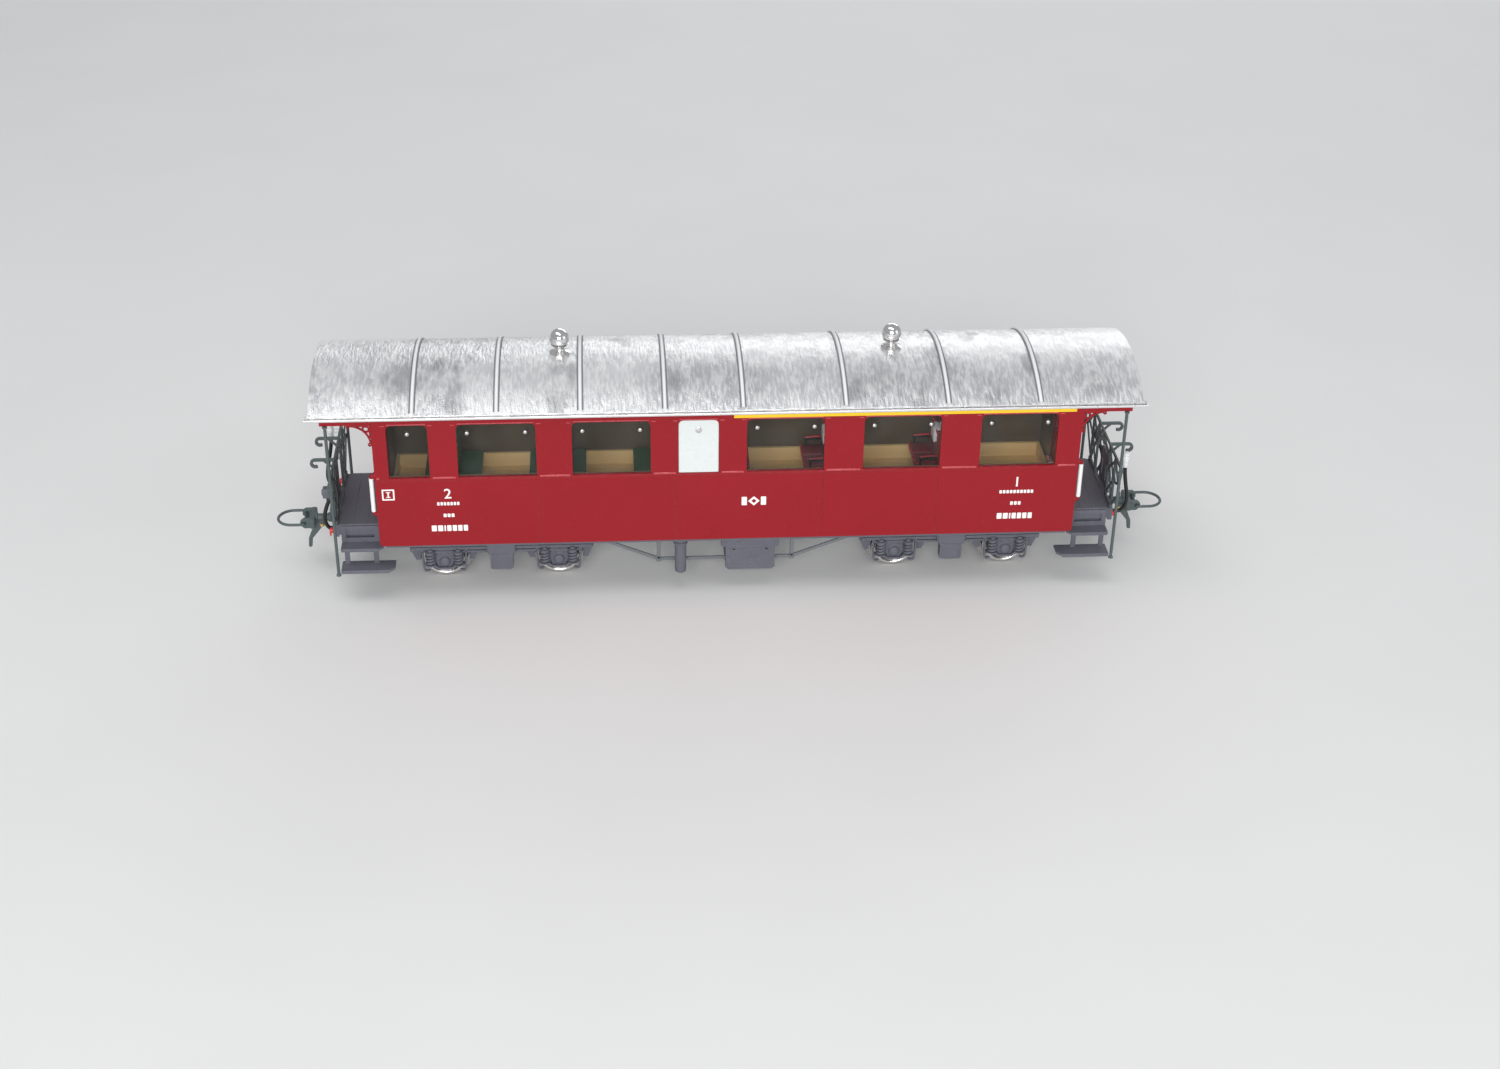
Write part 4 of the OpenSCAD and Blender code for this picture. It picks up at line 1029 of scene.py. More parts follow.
def bead_pattern():
    """A half-round bead, or a flat band when Foot is more than 0, bent over the roof on every point."""
    p = Pattern("roof_beads", Radius="Float", Half="Float", Bead="Float", Foot="Float")
    ask = p.start.other
    bow = p.node("GeometryNodeCurveArc", {"mode": "RADIUS"}, {
        "Resolution": 72, "Radius": ask("Radius"), "Start Angle": math.pi / 2 - ask("Half"),
        "Sweep Angle": ask("Half") * 2})
    section = p.node("GeometryNodeCurvePrimitiveCircle", sockets={"Resolution": 16, "Radius": ask("Bead")})
    band = p.node("GeometryNodeCurvePrimitiveQuadrilateral",
                  sockets={"Width": ask("Bead"), "Height": ask("Foot")})
    flat = p.node("FunctionNodeCompare", {"operation": "GREATER_THAN"}, {0: ask("Foot"), 1: 0.001})
    shape = p.node("GeometryNodeSwitch", {"input_type": "GEOMETRY"},
                   {"Switch": flat, "False": section, "True": band})
    rib = p.node("GeometryNodeCurveToMesh",
                 sockets={"Curve": bow, "Profile Curve": shape, "Fill Caps": True})
    return p.close(p.node("GeometryNodeInstanceOnPoints", sockets={
        "Points": ask("Geometry"), "Instance": rib, "Rotation": (math.pi / 2, 0, math.pi / 2)}))


def vent_profile():
    """A flange on the roof, a waisted neck, a cup and a round hood."""
    hood_r, hood_z = 1.84, 2.9
    return ([(0, -0.25), (1.95, -0.25), (1.95, 0.12), (1.6, 0.3), (1.05, 0.5), (0.86, 0.8), (0.86, 1.1),
             (1.15, 1.4), (1.6, 1.62), (1.66, 1.78), (1.5, 1.86), (1.25, 1.9), (1.25, 2.12), (1.5, 2.16)]
            + dome(hood_r, hood_z, -25, 90, 16))


def roof():
    half = math.asin(roof_half / roof_r)
    length = roof_high.x - roof_low.x
    sheet = vault_pattern().grow([(0, 0, 0)], Length=length - 0.02, Radius=roof_r, Half=half,
                                 Thickness=roof_t, Dent=0.22)
    make("roof_cover", "roof_silver", moved(sheet, 0, 0, roof_axis), ["roof_sheet"], 50)
    pattern, places = bead_pattern(), [(x, 0, roof_axis) for x in RIBS]
    beads = pattern.grow(places, Radius=roof_r + 0.06, Half=half - 0.016, Bead=0.32, Foot=0.0)
    # The feet are flat dark grey bands under each bead: painted shade along both sides of the bead.
    feet = pattern.grow(places, Radius=roof_r - 0.01, Half=half - 0.016, Bead=0.12, Foot=1.15)
    make("roof_joint_beads", "bead_silver", beads, ["roof_ribs"], 50)
    make("roof_joint_feet", "seam_grey", feet, (), 50)
    top = roof_axis + math.sqrt(roof_r ** 2 - roof_half ** 2)
    reach = box("gutters")[1].x
    flange = [(roof_half - 0.3, top - 0.5), (roof_half + 0.08, top - 0.5), (roof_half + 0.08, top - 0.12),
              (roof_half - 0.3, top + 0.02)]
    lip = rounded([(roof_half, top - 0.8), (roof_half + 0.65, top - 0.8), (roof_half + 0.65, top - 0.36),
                   (roof_half + 0.38, top - 0.36), (roof_half + 0.36, top - 0.62), (roof_half, top - 0.62)],
                  0.08, 3)
    # The bed is a dark grey strip in the gutter's trough: painted shadow.
    bed = rectangle(roof_half, top - 0.7, roof_half + 0.4, top - 0.55)
    trough = joined(plate_x(0.3 - reach, [flange], 2 * reach - 0.6, 0.04),
                    plate_x(-reach, [lip], 2 * reach, 0.04))
    make("rain_gutters", "gutter_bright", both_sides(trough), ["gutters"])
    make("gutter_beds", "seam_grey", both_sides(plate_x(0.1 - reach, [bed], 2 * reach - 0.2, 0.02)))
    vent = lathe(vent_profile(), 48)
    make("ball_vents", "vent_chrome", both_ends(moved(vent, box("roof_vents")[1].x - 1.85, 0, roof_high.z)),
         ["roof_vents"], 50)


def roof_carriers():
    """Eaves beams over the platforms, roof bows at the ends and pierced brackets with curled tips."""
    beam_t, bow_t = 0.5, 0.7
    end_x = headstock_x + 0.2
    beam = block((wall_x, wall_y - beam_t, fascia_z), (end_x - bow_t, wall_y, eaves_z))
    outer, inner = ceiling_r - 0.05, ceiling_r - 1.0
    reach = math.degrees(math.acos(wall_y / outer))
    low_reach = math.degrees(math.acos((wall_y - beam_t) / inner))
    bow = (arc((0, roof_axis), outer, reach, 180 - reach, 40)
           + [(-wall_y, fascia_z), (-wall_y + beam_t, fascia_z)]
           + arc((0, roof_axis), inner, 180 - low_reach, low_reach, 40)
           + [(wall_y - beam_t, fascia_z), (wall_y, fascia_z)])
    size = 3.9
    centre = (size, -size)
    swept = arc(centre, size - 0.35, 90, 180, 14)
    corner = [(0, 0), (0, -size), *reversed(swept), (size, 0)]
    clear = size - 0.05
    upper = [(1.42, -0.32), (2.5, -0.32), *arc(centre, clear, 111, 126, 4)]
    lower = [(-b, -a) for a, b in upper]
    holes = [upper, lower, ring_outline((0.86, -0.86), 0.4)]
    holes += [ring_outline(c, 0.13, 12) for c in ((0.3, -0.3), (2.95, -0.17), (0.17, -2.95))]
    curls = [[ring_outline(c, 0.36, 16), ring_outline(c, 0.14, 12)]
             for c in ((0.32, -size - 0.15), (size + 0.15, -0.34))]
    parts = [plate_y(wall_y - beam_t, loops, beam_t - 0.1, 0.05) for loops in ([corner] + holes, *curls)]
    bracket = moved(joined(*parts), wall_x, 0, fascia_z)
    shape = joined(four_corners(joined(beam, bracket)), both_ends(plate_x(end_x - bow_t, [bow], bow_t)))
    make("platform_roof_carriers", "body_red", shape, ["fascia_frames"])


# ---- Platforms ----


def bolt_heads(places, turn, radius=0.28, height=0.2, sides=6):
    """Bolt or rivet heads at places, all with one turn from standing along Z."""
    head = lathe([(0, -0.05), (radius, -0.05), (radius, height * 0.6), (radius * 0.65, height),
                  (0, height)], sides)
    return set_out(head, places, [turn] * len(places))


TURN_NEAR = (math.pi / 2, 0, 0)
TURN_FAR = (-math.pi / 2, 0, 0)
TURN_RIGHT = (0, math.pi / 2, 0)


def steps():
    """One corner's pair of steps: recessed riser, two treads with turned-down fronts, and hangers."""
    x_in, x_out = wall_x + 0.6, post_x - post_d / 2 - 0.1
    tread_t = 0.45
    upper_z, lower_z = at_rail(9.9), at_rail(6.4)
    riser_low, riser_high = at_rail(9.6), deck_z - 0.2
    rim = rectangle(x_in, riser_low, x_out, riser_high)
    panel = eased(x_in + 0.9, riser_low + 1.1, x_out - 0.9, riser_high - 0.8, 0.15, 2)
    parts = [plate_y(deck_y, [rim, panel], 0.45),
             plate_y(deck_y, [rectangle(x_in + 0.2, riser_low + 1.7, x_out - 0.2, riser_high - 0.2)], 0.15)]
    parts.append(block((x_in, deck_y - 1.6, riser_low), (x_out, deck_y - 1.1, riser_high), 0.05))
    for x0, y0, y1, z in ((wall_x - 0.3, deck_y, 13.3, upper_z), (63.1, 11.6, 15.4, lower_z)):
        cut = 0.9
        tread = rounded([(x0, y0), (x_out, y0), (x_out, y1), (x0 + cut, y1), (x0, y1 - cut)], 0.12, 2)
        parts.append(moved(plate([tread], tread_t, 0.09), 0, 0, z - tread_t))
        parts.append(block((x0 + cut + 0.2, y1 - 0.3, z - tread_t - 0.25),
                           (x_out - 0.1, y1 - 0.08, z - 0.1)))
    for x in (wall_x + 0.8, x_out - 1.5):
        strap = eased(x, lower_z - tread_t, x + 0.9, upper_z - tread_t + 0.1, 0.1, 2)
        parts.append(plate_y(12.1, [strap], 0.4))
    heads = [(x, 12.52, z) for x in (wall_x + 1.25, x_out - 1.05) for z in (lower_z + 0.5, upper_z - 0.95)]
    parts.append(bolt_heads(heads, TURN_FAR, 0.2, 0.14, 10))
    return joined(*parts)


def platforms():
    pair = both_sides(steps())
    make("step_set_right", "frame_grey", pair, ["steps_right"])
    make("step_set_left", "frame_grey", mirrored(pair, X), ["steps_left"])
    r = post_d / 2
    height = fascia_z - post_low.z
    waist = railing_top - post_low.z
    profile = [(0, 0), (r + 0.12, 0), (r + 0.12, 0.25), (r * 0.85, 0.4)]
    for z in (waist - 0.75, height - 0.45):
        profile += [(r * 0.85, z), (r + 0.12, z + 0.1), (r + 0.12, z + 0.35), (r * 0.85, z + 0.45)]
    profile = profile[:-1] + [(r, height), (0, height)]
    post = lathe(profile, 20)
    make("platform_corner_posts", "railing_grey", four_corners(moved(post, post_x, wall_y, post_low.z)),
         ["corner_posts"])
    deck = []
    for x in range(3):
        x0 = wall_x + 0.15 + x * (headstock_x - headstock_t - wall_x - 0.2) / 3
        x1 = x0 + (headstock_x - headstock_t - wall_x - 0.2) / 3 - 0.08
        deck.append(block((x0, -deck_y + 0.1, deck_z - 0.9), (x1, deck_y - 0.1, deck_z), 0.05))
    deck.append(block((wall_x, -deck_y, deck_z - 1), (headstock_x - headstock_t, deck_y, deck_z - 0.12),
                      0.05))
    make("platform_deck_boards", "frame_grey", both_ends(joined(*deck)), ["platform_floors"])


def railing_half():
    """One side of an end railing as paths in Y and Z: frame bars, then curved lattice straps."""
    y_in, y_mid, y_out = 4.9, 9.6, wall_y
    foot, top = deck_z, railing_top
    waist = foot + 0.52 * (top - foot)
    frame_bars = [
        [(y_in - 0.3, top - 0.3), (y_out, top - 0.3)],
        [(y_in - 0.3, foot + 0.25), (deck_y, foot + 0.25)],
        [(y_in, foot), (y_in, top - 0.1)],
        [(y_mid, foot), (y_mid, top - 0.1)]]
    sweeps = [
        [(y_in, foot + 0.5), (y_in + 1.5, foot + 2.4), (y_mid - 0.3, waist), (y_mid, waist + 1.2)],
        [(y_in, waist + 1.2), (y_in + 1.4, waist + 0.2), (y_mid - 1.2, foot + 2.2), (y_mid, foot + 0.5)],
        [(y_in, waist - 0.6), (y_in + 1.6, waist + 1.6), (y_mid - 0.9, top - 1.9), (y_mid, top - 0.4)],
        [(y_in, top - 0.6), (y_in + 1.2, top - 2.0), (y_mid - 1.0, waist + 0.9), (y_mid, waist - 0.6)],
        [(y_mid, foot + 0.6), (y_mid + 1.6, foot + 2.2), (y_out - 1.2, waist - 0.8),
         (y_out - 0.2, waist + 0.4)],
        [(y_mid, waist + 1.4), (y_mid + 1.5, waist + 0.4), (y_out - 1.5, waist + 2.0),
         (y_out - 0.3, top - 0.4)],
        [(y_out - 0.2, waist - 0.4), (y_out - 1.7, waist + 0.8), (y_mid + 1.4, top - 2.0),
         (y_mid, top - 0.6)]]
    return frame_bars, [[tuple(p.xy) for p in smooth([(*q, 0) for q in route], 6)] for route in sweeps]


def end_railing():
    """The lattice railing of the right-hand end, with a ring and braces over the gangway."""
    frame_bars, sweeps = railing_half()
    x = headstock_x - headstock_t + 0.2
    top = railing_top
    half = joined(facing_x(straps(frame_bars, 0.62, 0.42), x),
                  facing_x(straps(sweeps, 0.55, 0.3), x + 0.06))
    knobs = [(x - 0.08, y, z) for y, z in ((9.6, deck_z + 6.2), (4.9, deck_z + 6.2), (9.6, deck_z + 0.4))]
    half = joined(half, bolt_heads(knobs, TURN_RIGHT, 0.4, 0.6, 12))
    hub = (0, top - 0.4 - 1.1)
    loop = plate_x(x, [ring_outline(hub, 1.1, 28), ring_outline(hub, 0.72, 24)], 0.4)
    braces = []
    for side in (-1, 1):
        braces.append([tuple(p.xy) for p in smooth(
            [(side * 4.9, top - 4.2, 0), (side * 4.0, top - 2.6, 0), (side * 2.5, top - 2.1, 0),
             (side * 1.0, top - 1.8, 0)], 5)])
    middle = straps([[(-5, top - 0.3), (5, top - 0.3)]] + braces, 0.5, 0.4)
    return joined(both_sides(half), loop, facing_x(middle, x))


def hook_arms():
    """Arms over the gangway with curled tips and curved braces, in X and Z."""
    z = railing_top - 0.3
    x0, tip = headstock_x - 0.4, headstock_x + 3.2
    curl = [(x0, z)] + [(x, z + h) for x, h in arc((tip, -0.72), 0.72, 90, -120, 10)]
    brace = [tuple(p.xy) for p in smooth(
        [(x0, z - 3.0, 0), (x0 + 0.5, z - 1.7, 0), (x0 + 1.3, z - 0.8, 0), (x0 + 2.1, z - 0.1, 0)], 5)]
    arm = straps([curl], 0.55, 0.6)
    stay = straps([brace], 0.4, 0.4)
    return joined(*(facing_y(joined(arm, moved(stay, 0, 0, 0.1)), y - 0.3) for y in (-4.3, 4.3)))


def gangway_plate():
    """The bridge plate stowed upright, with hand slots, rivets and a hinge along its foot."""
    base = deck_z - 0.2
    outline = rounded([(-3.4, base), (3.4, base), (3.4, base + 7.2), (-3.4, base + 7.2)],
                      [0.1, 0.1, 1.2, 1.2], 6)
    slots = [eased(s * 1.6 - 0.4, base + 1.4, s * 1.6 + 0.4, base + 5.0, 0.38, 4) for s in (-1, 1)]
    sheet = plate_x(headstock_x + 0.04, [outline] + slots, 0.42)
    knuckles = [lathe([(0, 0), (0.4, 0), (0.4, 1.5), (0, 1.5)], 16)]
    hinge = set_out(rotated(knuckles[0], -90, "X"),
                    [(headstock_x + 0.35, y, base) for y in (-3.2, -0.75, 1.7)])
    rivets = [(headstock_x + 0.44, y, base + z) for y in (-2.9, 2.9) for z in (1, 3, 5)]
    return joined(sheet, hinge, bolt_heads(rivets, TURN_RIGHT, 0.2, 0.14, 10))


def end_fittings():
    make("end_railing_lattice", "railing_grey", both_ends(end_railing()), ["end_railings"])
    make("safety_hook_arms", "railing_grey", both_ends(hook_arms()), ["coupling_hook_arms"])
    make("gangway_bridge_plates", "frame_grey", both_ends(gangway_plate()), ["gangway_plates"])
    shell = lathe([(0, 0), (1.1, 0), (1.1, 0.15), (0.82, 0.3), (0.75, 0.5), (0.75, 1.2), (0.62, 1.3),
                   (0, 1.3)], 28)
    lens = lathe([(0, 0), (0.6, 0)] + dome(0.6, 0, 0, 90, 6)[1:], 24)
    at = (wall_x, 0, at_rail(38.4))
    make("end_lamp_shells", "railing_grey", both_ends(moved(lying_x(shell), *at)), ["end_lamps"])
    glass = turned(lying_x(lens), Matrix.Diagonal((0.16, 1, 1, 1)))
    make("end_lamp_lenses", "lamp_ivory", both_ends(moved(glass, at[0] + 1.28, 0, at[2])))


# ---- Under the floor ----


def truss():
    """One side's trussing: a flat bar over two queen posts, with shoes and nuts."""
    end_z, low = at_rail(9.7), at_rail(5.2)
    x_end, x_post = (-24, 24), (-13.3, 12.2)
    bar = [(x_end[0], end_z), (x_post[0], low), (x_post[1], low), (x_end[1], end_z)]
    uprights = [[(x, low), (x, floor_under)] for x in x_post]
    parts = [facing_y(straps([bar[0:2], bar[1:3], bar[2:4]], 0.62, 0.45), 11.15),
             facing_y(straps(uprights, 0.7, 0.6, 0.1), 11.1)]
    for x in x_post:
        parts.append(plate_y(11.1, [ring_outline((x, low), 0.6, 20)], 0.6))
        parts.append(block((x - 0.9, 10.7, floor_under - 0.45), (x + 0.9, 11.8, floor_under)))
        parts.append(bolt_heads([(x, 11.7, low)], TURN_FAR, 0.32, 0.25))
    for x in x_end:
        foot = rounded([(x - 0.9, floor_under), (x - 0.7, end_z - 0.5), (x + 0.7, end_z - 0.5),
                        (x + 0.9, floor_under)], 0.25, 3)
        parts.append(plate_y(11.1, [foot], 0.6))
        parts.append(bolt_heads([(x, 11.7, end_z)], TURN_FAR, 0.3, 0.2))
    return joined(*parts)


def battery():
    """A box with shoulders, a framed door, louvres, latches and hinge straps on its near face."""
    low_corner, high_corner = box("battery_box")
    x0, x1 = low_corner.x + 0.8, high_corner.x - 0.8
    y0, y1, z0 = low_corner.y, high_corner.y, low_corner.z
    shoulder = floor_under - 2
    outline = rounded([(x0 + 0.5, z0), (x1 - 0.5, z0), (x1, z0 + 0.5), (x1, shoulder + 0.1),
                       (x0, shoulder + 0.1), (x0, z0 + 0.5)], 0.15, 2)
    front, back = -11.85, -10.9
    parts = [plate_y(y0 + 0.1, [outline], front - y0 - 0.1, 0.12),
             plate_y(back, [outline], y1 - back, 0.12),
             block((x0 - 0.8, y0 + 0.05, shoulder), (x1 + 0.8, y1, floor_under), 0.12)]
    rim = eased(x0 + 0.5, z0 + 0.7, x1 - 0.5, shoulder - 0.3, 0.3, 4)
    field = eased(x0 + 0.8, z0 + 1.0, x1 - 0.8, shoulder - 0.6, 0.25, 4)
    parts.append(plate_y(y0, [rim, field], 0.12, 0.04))
    slat = rotated(block((-1.5, -0.12, -0.05), (1.5, 0.06, 0.07), 0.03), 35, "X")
    middle = (x0 + x1) / 2
    rows = [(middle, y0 + 0.1, z0 + 1.7 + 0.42 * k) for k in range(5)]
    parts.append(set_out(slat, rows))
    strap = block((-0.3, -0.1, -0.9), (0.3, 0.05, 0.9), 0.04)
    parts.append(set_out(strap, [(x, y0 + 0.1, shoulder - 0.3) for x in (x0 + 1.6, x1 - 1.6)]))
    latches = [(x, y0 + 0.02, floor_under - 1) for x in (x0 - 0.4, x0 + 2.5, x1 - 2.5, x1 + 0.4)]
    parts.append(bolt_heads(latches, TURN_NEAR, 0.24, 0.14, 10))
    return joined(*parts)


def brake_gear():
    """Brake cylinder with ribs, rod and lever, and the air tank on its straps."""
    z, y = at_rail(7.9), 6
    cylinder = [(0, 0), (1.2, 0), (1.8, 0.4), (1.8, 2.0), (1.95, 2.1), (1.95, 2.5), (1.8, 2.6), (1.8, 6.6),
                (1.95, 6.7), (1.95, 7.3), (1.5, 7.5), (0.8, 7.8), (0.8, 8), (0, 8)]
    parts = [moved(lying_x(lathe(cylinder, 32)), 1, y, z),
             rods([[(8.8, y, z), (13, y, z)]], 0.8, 14),
             block((12.2, y - 0.3, z - 1.6), (12.8, y + 0.3, z + 1.6), 0.1),
             block((2.2, 5.1, z), (7.8, 6.9, floor_under), 0.12),
             block((-10.3, 5.5, z), (-3.7, 6.5, floor_under), 0.1)]
    tank = [(0, 0), (0.8, 0.05), (1.5, 0.3), (1.9, 0.8), (2, 1.3), (2, 2.2), (2.06, 2.25), (2.06, 2.9),
            (2, 2.95), (2, 7.1), (2.06, 7.15), (2.06, 7.8), (2, 7.85), (2, 8.7), (1.9, 9.2), (1.5, 9.7),
            (0.8, 9.95), (0, 10)]
    parts.append(moved(lying_x(lathe(tank, 32)), -12, y, z))
    return joined(*parts)


def taps():
    """Valve bodies with levers: one on each solebar and two on each headstock."""
    body_shape = lathe([(0, 0), (0.36, 0), (0.36, 0.25), (0.45, 0.3), (0.45, 0.6), (0.3, 0.72), (0, 0.75)],
                       14)
    lever = block((-0.16, -0.14, 0.55), (0.95, 0.14, 0.78), 0.05)
    valve = joined(body_shape, lever)
    parts = [moved(rotated(valve, 90, "X"), 10.6, -11.12, at_rail(10.15))]
    for y in (-9.6, 9.6):
        stand_out = rotated(valve, 90, "Y")
        parts.append(moved(turned(stand_out, Matrix.Scale(1.25, 4)), headstock_x, y, at_rail(12)))
    return turned_pair(joined(*parts))


HEATING_ROUTE = [
    (76.1, -9.1, 22.8), (76.3, -9.1, 21), (76.7, -8.9, 18.8), (77.2, -8.6, 16.4),
    (77.3, -8.3, 14.4), (76.7, -8, 12.9), (75.7, -7.8, 12.3), (74.4, -7.7, 12.2)]
BRAKE_ROUTE = [
    (75, 8.4, 19.5), (75.2, 8.4, 18.6), (75.8, 8.5, 17), (76.2, 8.5, 15.2),
    (76, 8.4, 13.6), (75.4, 8.3, 12.7), (74.4, 8.2, 12.4)]


def hoses():
    """Rubber hoses held at both ends, with clamped cuffs where they meet their fittings."""
    runs = rods([smooth(HEATING_ROUTE, 7), smooth(BRAKE_ROUTE, 7)], 0.75, 16)
    cuff = lathe([(0, -0.5), (0.5, -0.5), (0.55, -0.35), (0.55, 0.35), (0.5, 0.5), (0, 0.5)], 18)
    cuffs = joined(moved(lying_x(cuff), 75.0, -7.72, 12.22), moved(lying_x(cuff), 74.9, 8.25, 12.5),
                   moved(cuff, 75.05, 8.4, 19.0))
    make("brake_and_heating_hoses", "hose_rubber", turned_pair(joined(runs, cuffs)), ["brake_hoses"])
    plug = lathe([(0, 0), (0.42, 0), (0.5, 0.15), (0.55, 0.9), (0.5, 1.0), (0.62, 1.15), (0.68, 1.9),
                  (0.55, 2.2), (0.5, 2.35), (0.66, 2.5), (0.72, 2.8), (0.6, 3.05), (0.3, 3.15), (0, 3.15)],
                 22)
    clip = block((headstock_x - 0.2, -9.35, at_rail(23)), (76.1, -8.85, at_rail(23.8)), 0.1)
    at = HEATING_ROUTE[0]
    make("heating_plug_pair", "plug_white", turned_pair(joined(moved(rotated(plug, -3, "X"), *at), clip)),
         ["heating_plugs"])
    lid = eased(7.5, at_rail(18.6), 9.3, at_rail(20.6), 0.4, 4)
    ring = lathe([(0.3, 0), (0.65, 0), (0.65, 0.6), (0.55, 0.8), (0.38, 0.8), (0.3, 0.7)], 22, closed=True)
    core = lathe([(0, 0), (0.34, 0), (0.34, 0.5), (0, 0.5)], 18)
    socket = joined(plate_x(headstock_x - 0.2, [lid], 1.9, 0.15),
                    moved(lying_x(joined(ring, core)), 75.5, 8.4, at_rail(19.6)))
    make("heating_socket_pair", "frame_grey", turned_pair(socket), ["heating_sockets"])


def underfloor():
    make("truss_bars", "truss_grey", both_sides(truss()), ["truss_rods"])
    pipe_low, pipe_high = box("toilet_pipe")
    drop = pipe_high.z - pipe_low.z
    pipe = [(0.7, 0.6), (0.78, 0.12), (0.92, 0), (1.06, 0.12), (1.1, 0.5), (1.1, drop - 1.2),
            (1.35, drop - 1.0), (1.35, drop - 0.6), (1.1, drop - 0.5), (1.1, drop), (0.7, drop)]
    centre = (pipe_low + pipe_high) / 2
    make("drop_pipe", "frame_grey", moved(lathe(pipe, 36, closed=True), centre.x, centre.y, pipe_low.z),
         ["toilet_pipe"])
    make("battery_case", "frame_grey", battery(), ["battery_box"])
    make("brake_cylinder_and_tank", "frame_grey", brake_gear(), ["brake_cylinder"])
    make("red_air_taps", "tap_red", taps(), ["brake_taps"])
    hoses()


# ---- Interior ----

second_bays = [-52.6, -32.4, -12.1]
first_bays = [-0.3, 21.1, 42.9]
end_seat_x = 62.6
far_row, near_row = (3.6, 13.2), (-13.2, -5)
seat_base, seat_top = at_rail(15.4), at_rail(22.6)


def seat_places(bays, whole, partial):
    """(x, way, row) of every seat: both faces and rows of whole bays, then the single ones."""
    seats = [(bays[i], way, row) for i in whole for way in (-1, 1) for row in (far_row, near_row)]
    return seats + partial


SECOND = seat_places(second_bays, (0, 1), [(second_bays[2], -1, far_row)])
FIRST = seat_places(first_bays, (1, 2), [(first_bays[0], 1, far_row), (end_seat_x, -1, near_row)])


def placed(parts_for, seats):
    """A seat part for every seat, turned to face its way."""
    made = []
    for x, way, row in seats:
        shape = parts_for(row)
        made.append(moved(mirrored(shape, X) if way < 0 else shape, x, 0, 0))
    return joined(*made)


def bench(row):
    """A second class bench facing +X: a firm seat with a rolled front and a ribbed upright back."""
    y0, y1 = row
    seat = cushion((0.8, y0, seat_base), (5.5, y1, seat_base + 1.0), 0.4, 0.15)
    back = cushion((0.12, y0, seat_base + 0.1), (0.95, y1, seat_top), 0.3, 0.05)
    count = 5
    pitch = (y1 - y0 - 0.8) / count
    pads = [cushion((0.75, y0 + 0.4 + k * pitch, seat_base + 1.2),
                    (1.2, y0 + 0.4 + (k + 1) * pitch - 0.1, seat_top - 0.5), 0.2, 0) for k in range(count)]
    return joined(seat, back, *pads)


def lounge(row):
    """A first class seat facing +X: a deep cushion, a back and a bolster under the headrest."""
    y0, y1 = row
    middle = (y0 + y1) / 2
    parts = [cushion((0.12, y0, seat_base + 0.1), (0.95, y1, seat_top), 0.32, 0.05)]
    for low, high in ((y0 + 0.5, middle - 0.12), (middle + 0.12, y1 - 0.5)):
        parts.append(cushion((0.8, low, seat_base), (5.45, high, seat_base + 1.15), 0.5, 0.25))
        parts.append(cushion((0.7, low, seat_base + 1.3), (1.3, high, seat_top - 2.3), 0.28, 0))
    return joined(*parts)


def piping(row):
    """Bright red rods along a first class seat's front, arms and back: partly piping, partly painted
    highlight on those edges.
    """
    y0, y1 = row
    z = seat_base + 1.0
    runs = [[(5.3, y, z) for y in (y0 + 0.6, y1 - 0.6)]]
    runs += [[(0.9, y, z + 1.6), (2.4, y, z + 1.65), (4.4, y, z + 1.45)] for y in (y0 + 0.25, y1 - 0.25)]
    runs += [[(1.0, y0 + 0.3, seat_top - 0.05), (1.0, y1 - 0.3, seat_top - 0.05)]]
    return rods(runs, 0.36, 8)


def arm_rest(row):
    """Black arms under the piping, on a front post."""
    parts = []
    for y in (row[0] + 0.25, row[1] - 0.25):
        parts.append(block((0.9, y - 0.24, seat_base + 1.95), (4.6, y + 0.24, seat_base + 2.45), 0.1))
        parts.append(block((4.0, y - 0.2, seat_base - 0.1), (4.4, y + 0.2, seat_base + 2.1), 0.06))
    return joined(*parts)


def headrest(row):
    """A padded white headrest over the top of a back."""
    middle = (row[0] + row[1]) / 2
    return cushion((0.0, middle - 2.6, seat_top - 2.9), (1.6, middle + 1.4, seat_top + 0.15), 0.5, 0.1)


def plinth(row):
    """The dark box under a seat, with a toe recess."""
    foot = at_rail(12.6)
    return joined(block((0.3, row[0] + 0.5, foot), (3.6, row[1] - 0.5, seat_base), 0.1),
                  block((0.5, row[0] + 0.3, seat_base - 0.5), (4.9, row[1] - 0.3, seat_base), 0.08))


def lining():
    """Brown boarding on the inside of the walls above the tray, open at the windows."""
    t, low, high = 0.12, at_rail(13), eaves_z - 0.5
    holes = [window_outline(w, -0.03) for w in WINDOWS]
    x_end = wall_x - wall_t - 0.05
    side = plate_y(-inner_y + 0.34, [rectangle(-x_end, low, x_end, high)] + holes, t, 0.02)
    y_end, door = inner_y - 0.5, 4.3
    end = joined(*(plate_x(wall_x - wall_t - 0.2, [rectangle(y0, low, y1, high)], t, 0.02)
                   for y0, y1 in ((-y_end, -door), (door, y_end))))
    return joined(both_sides(side), both_ends(end))


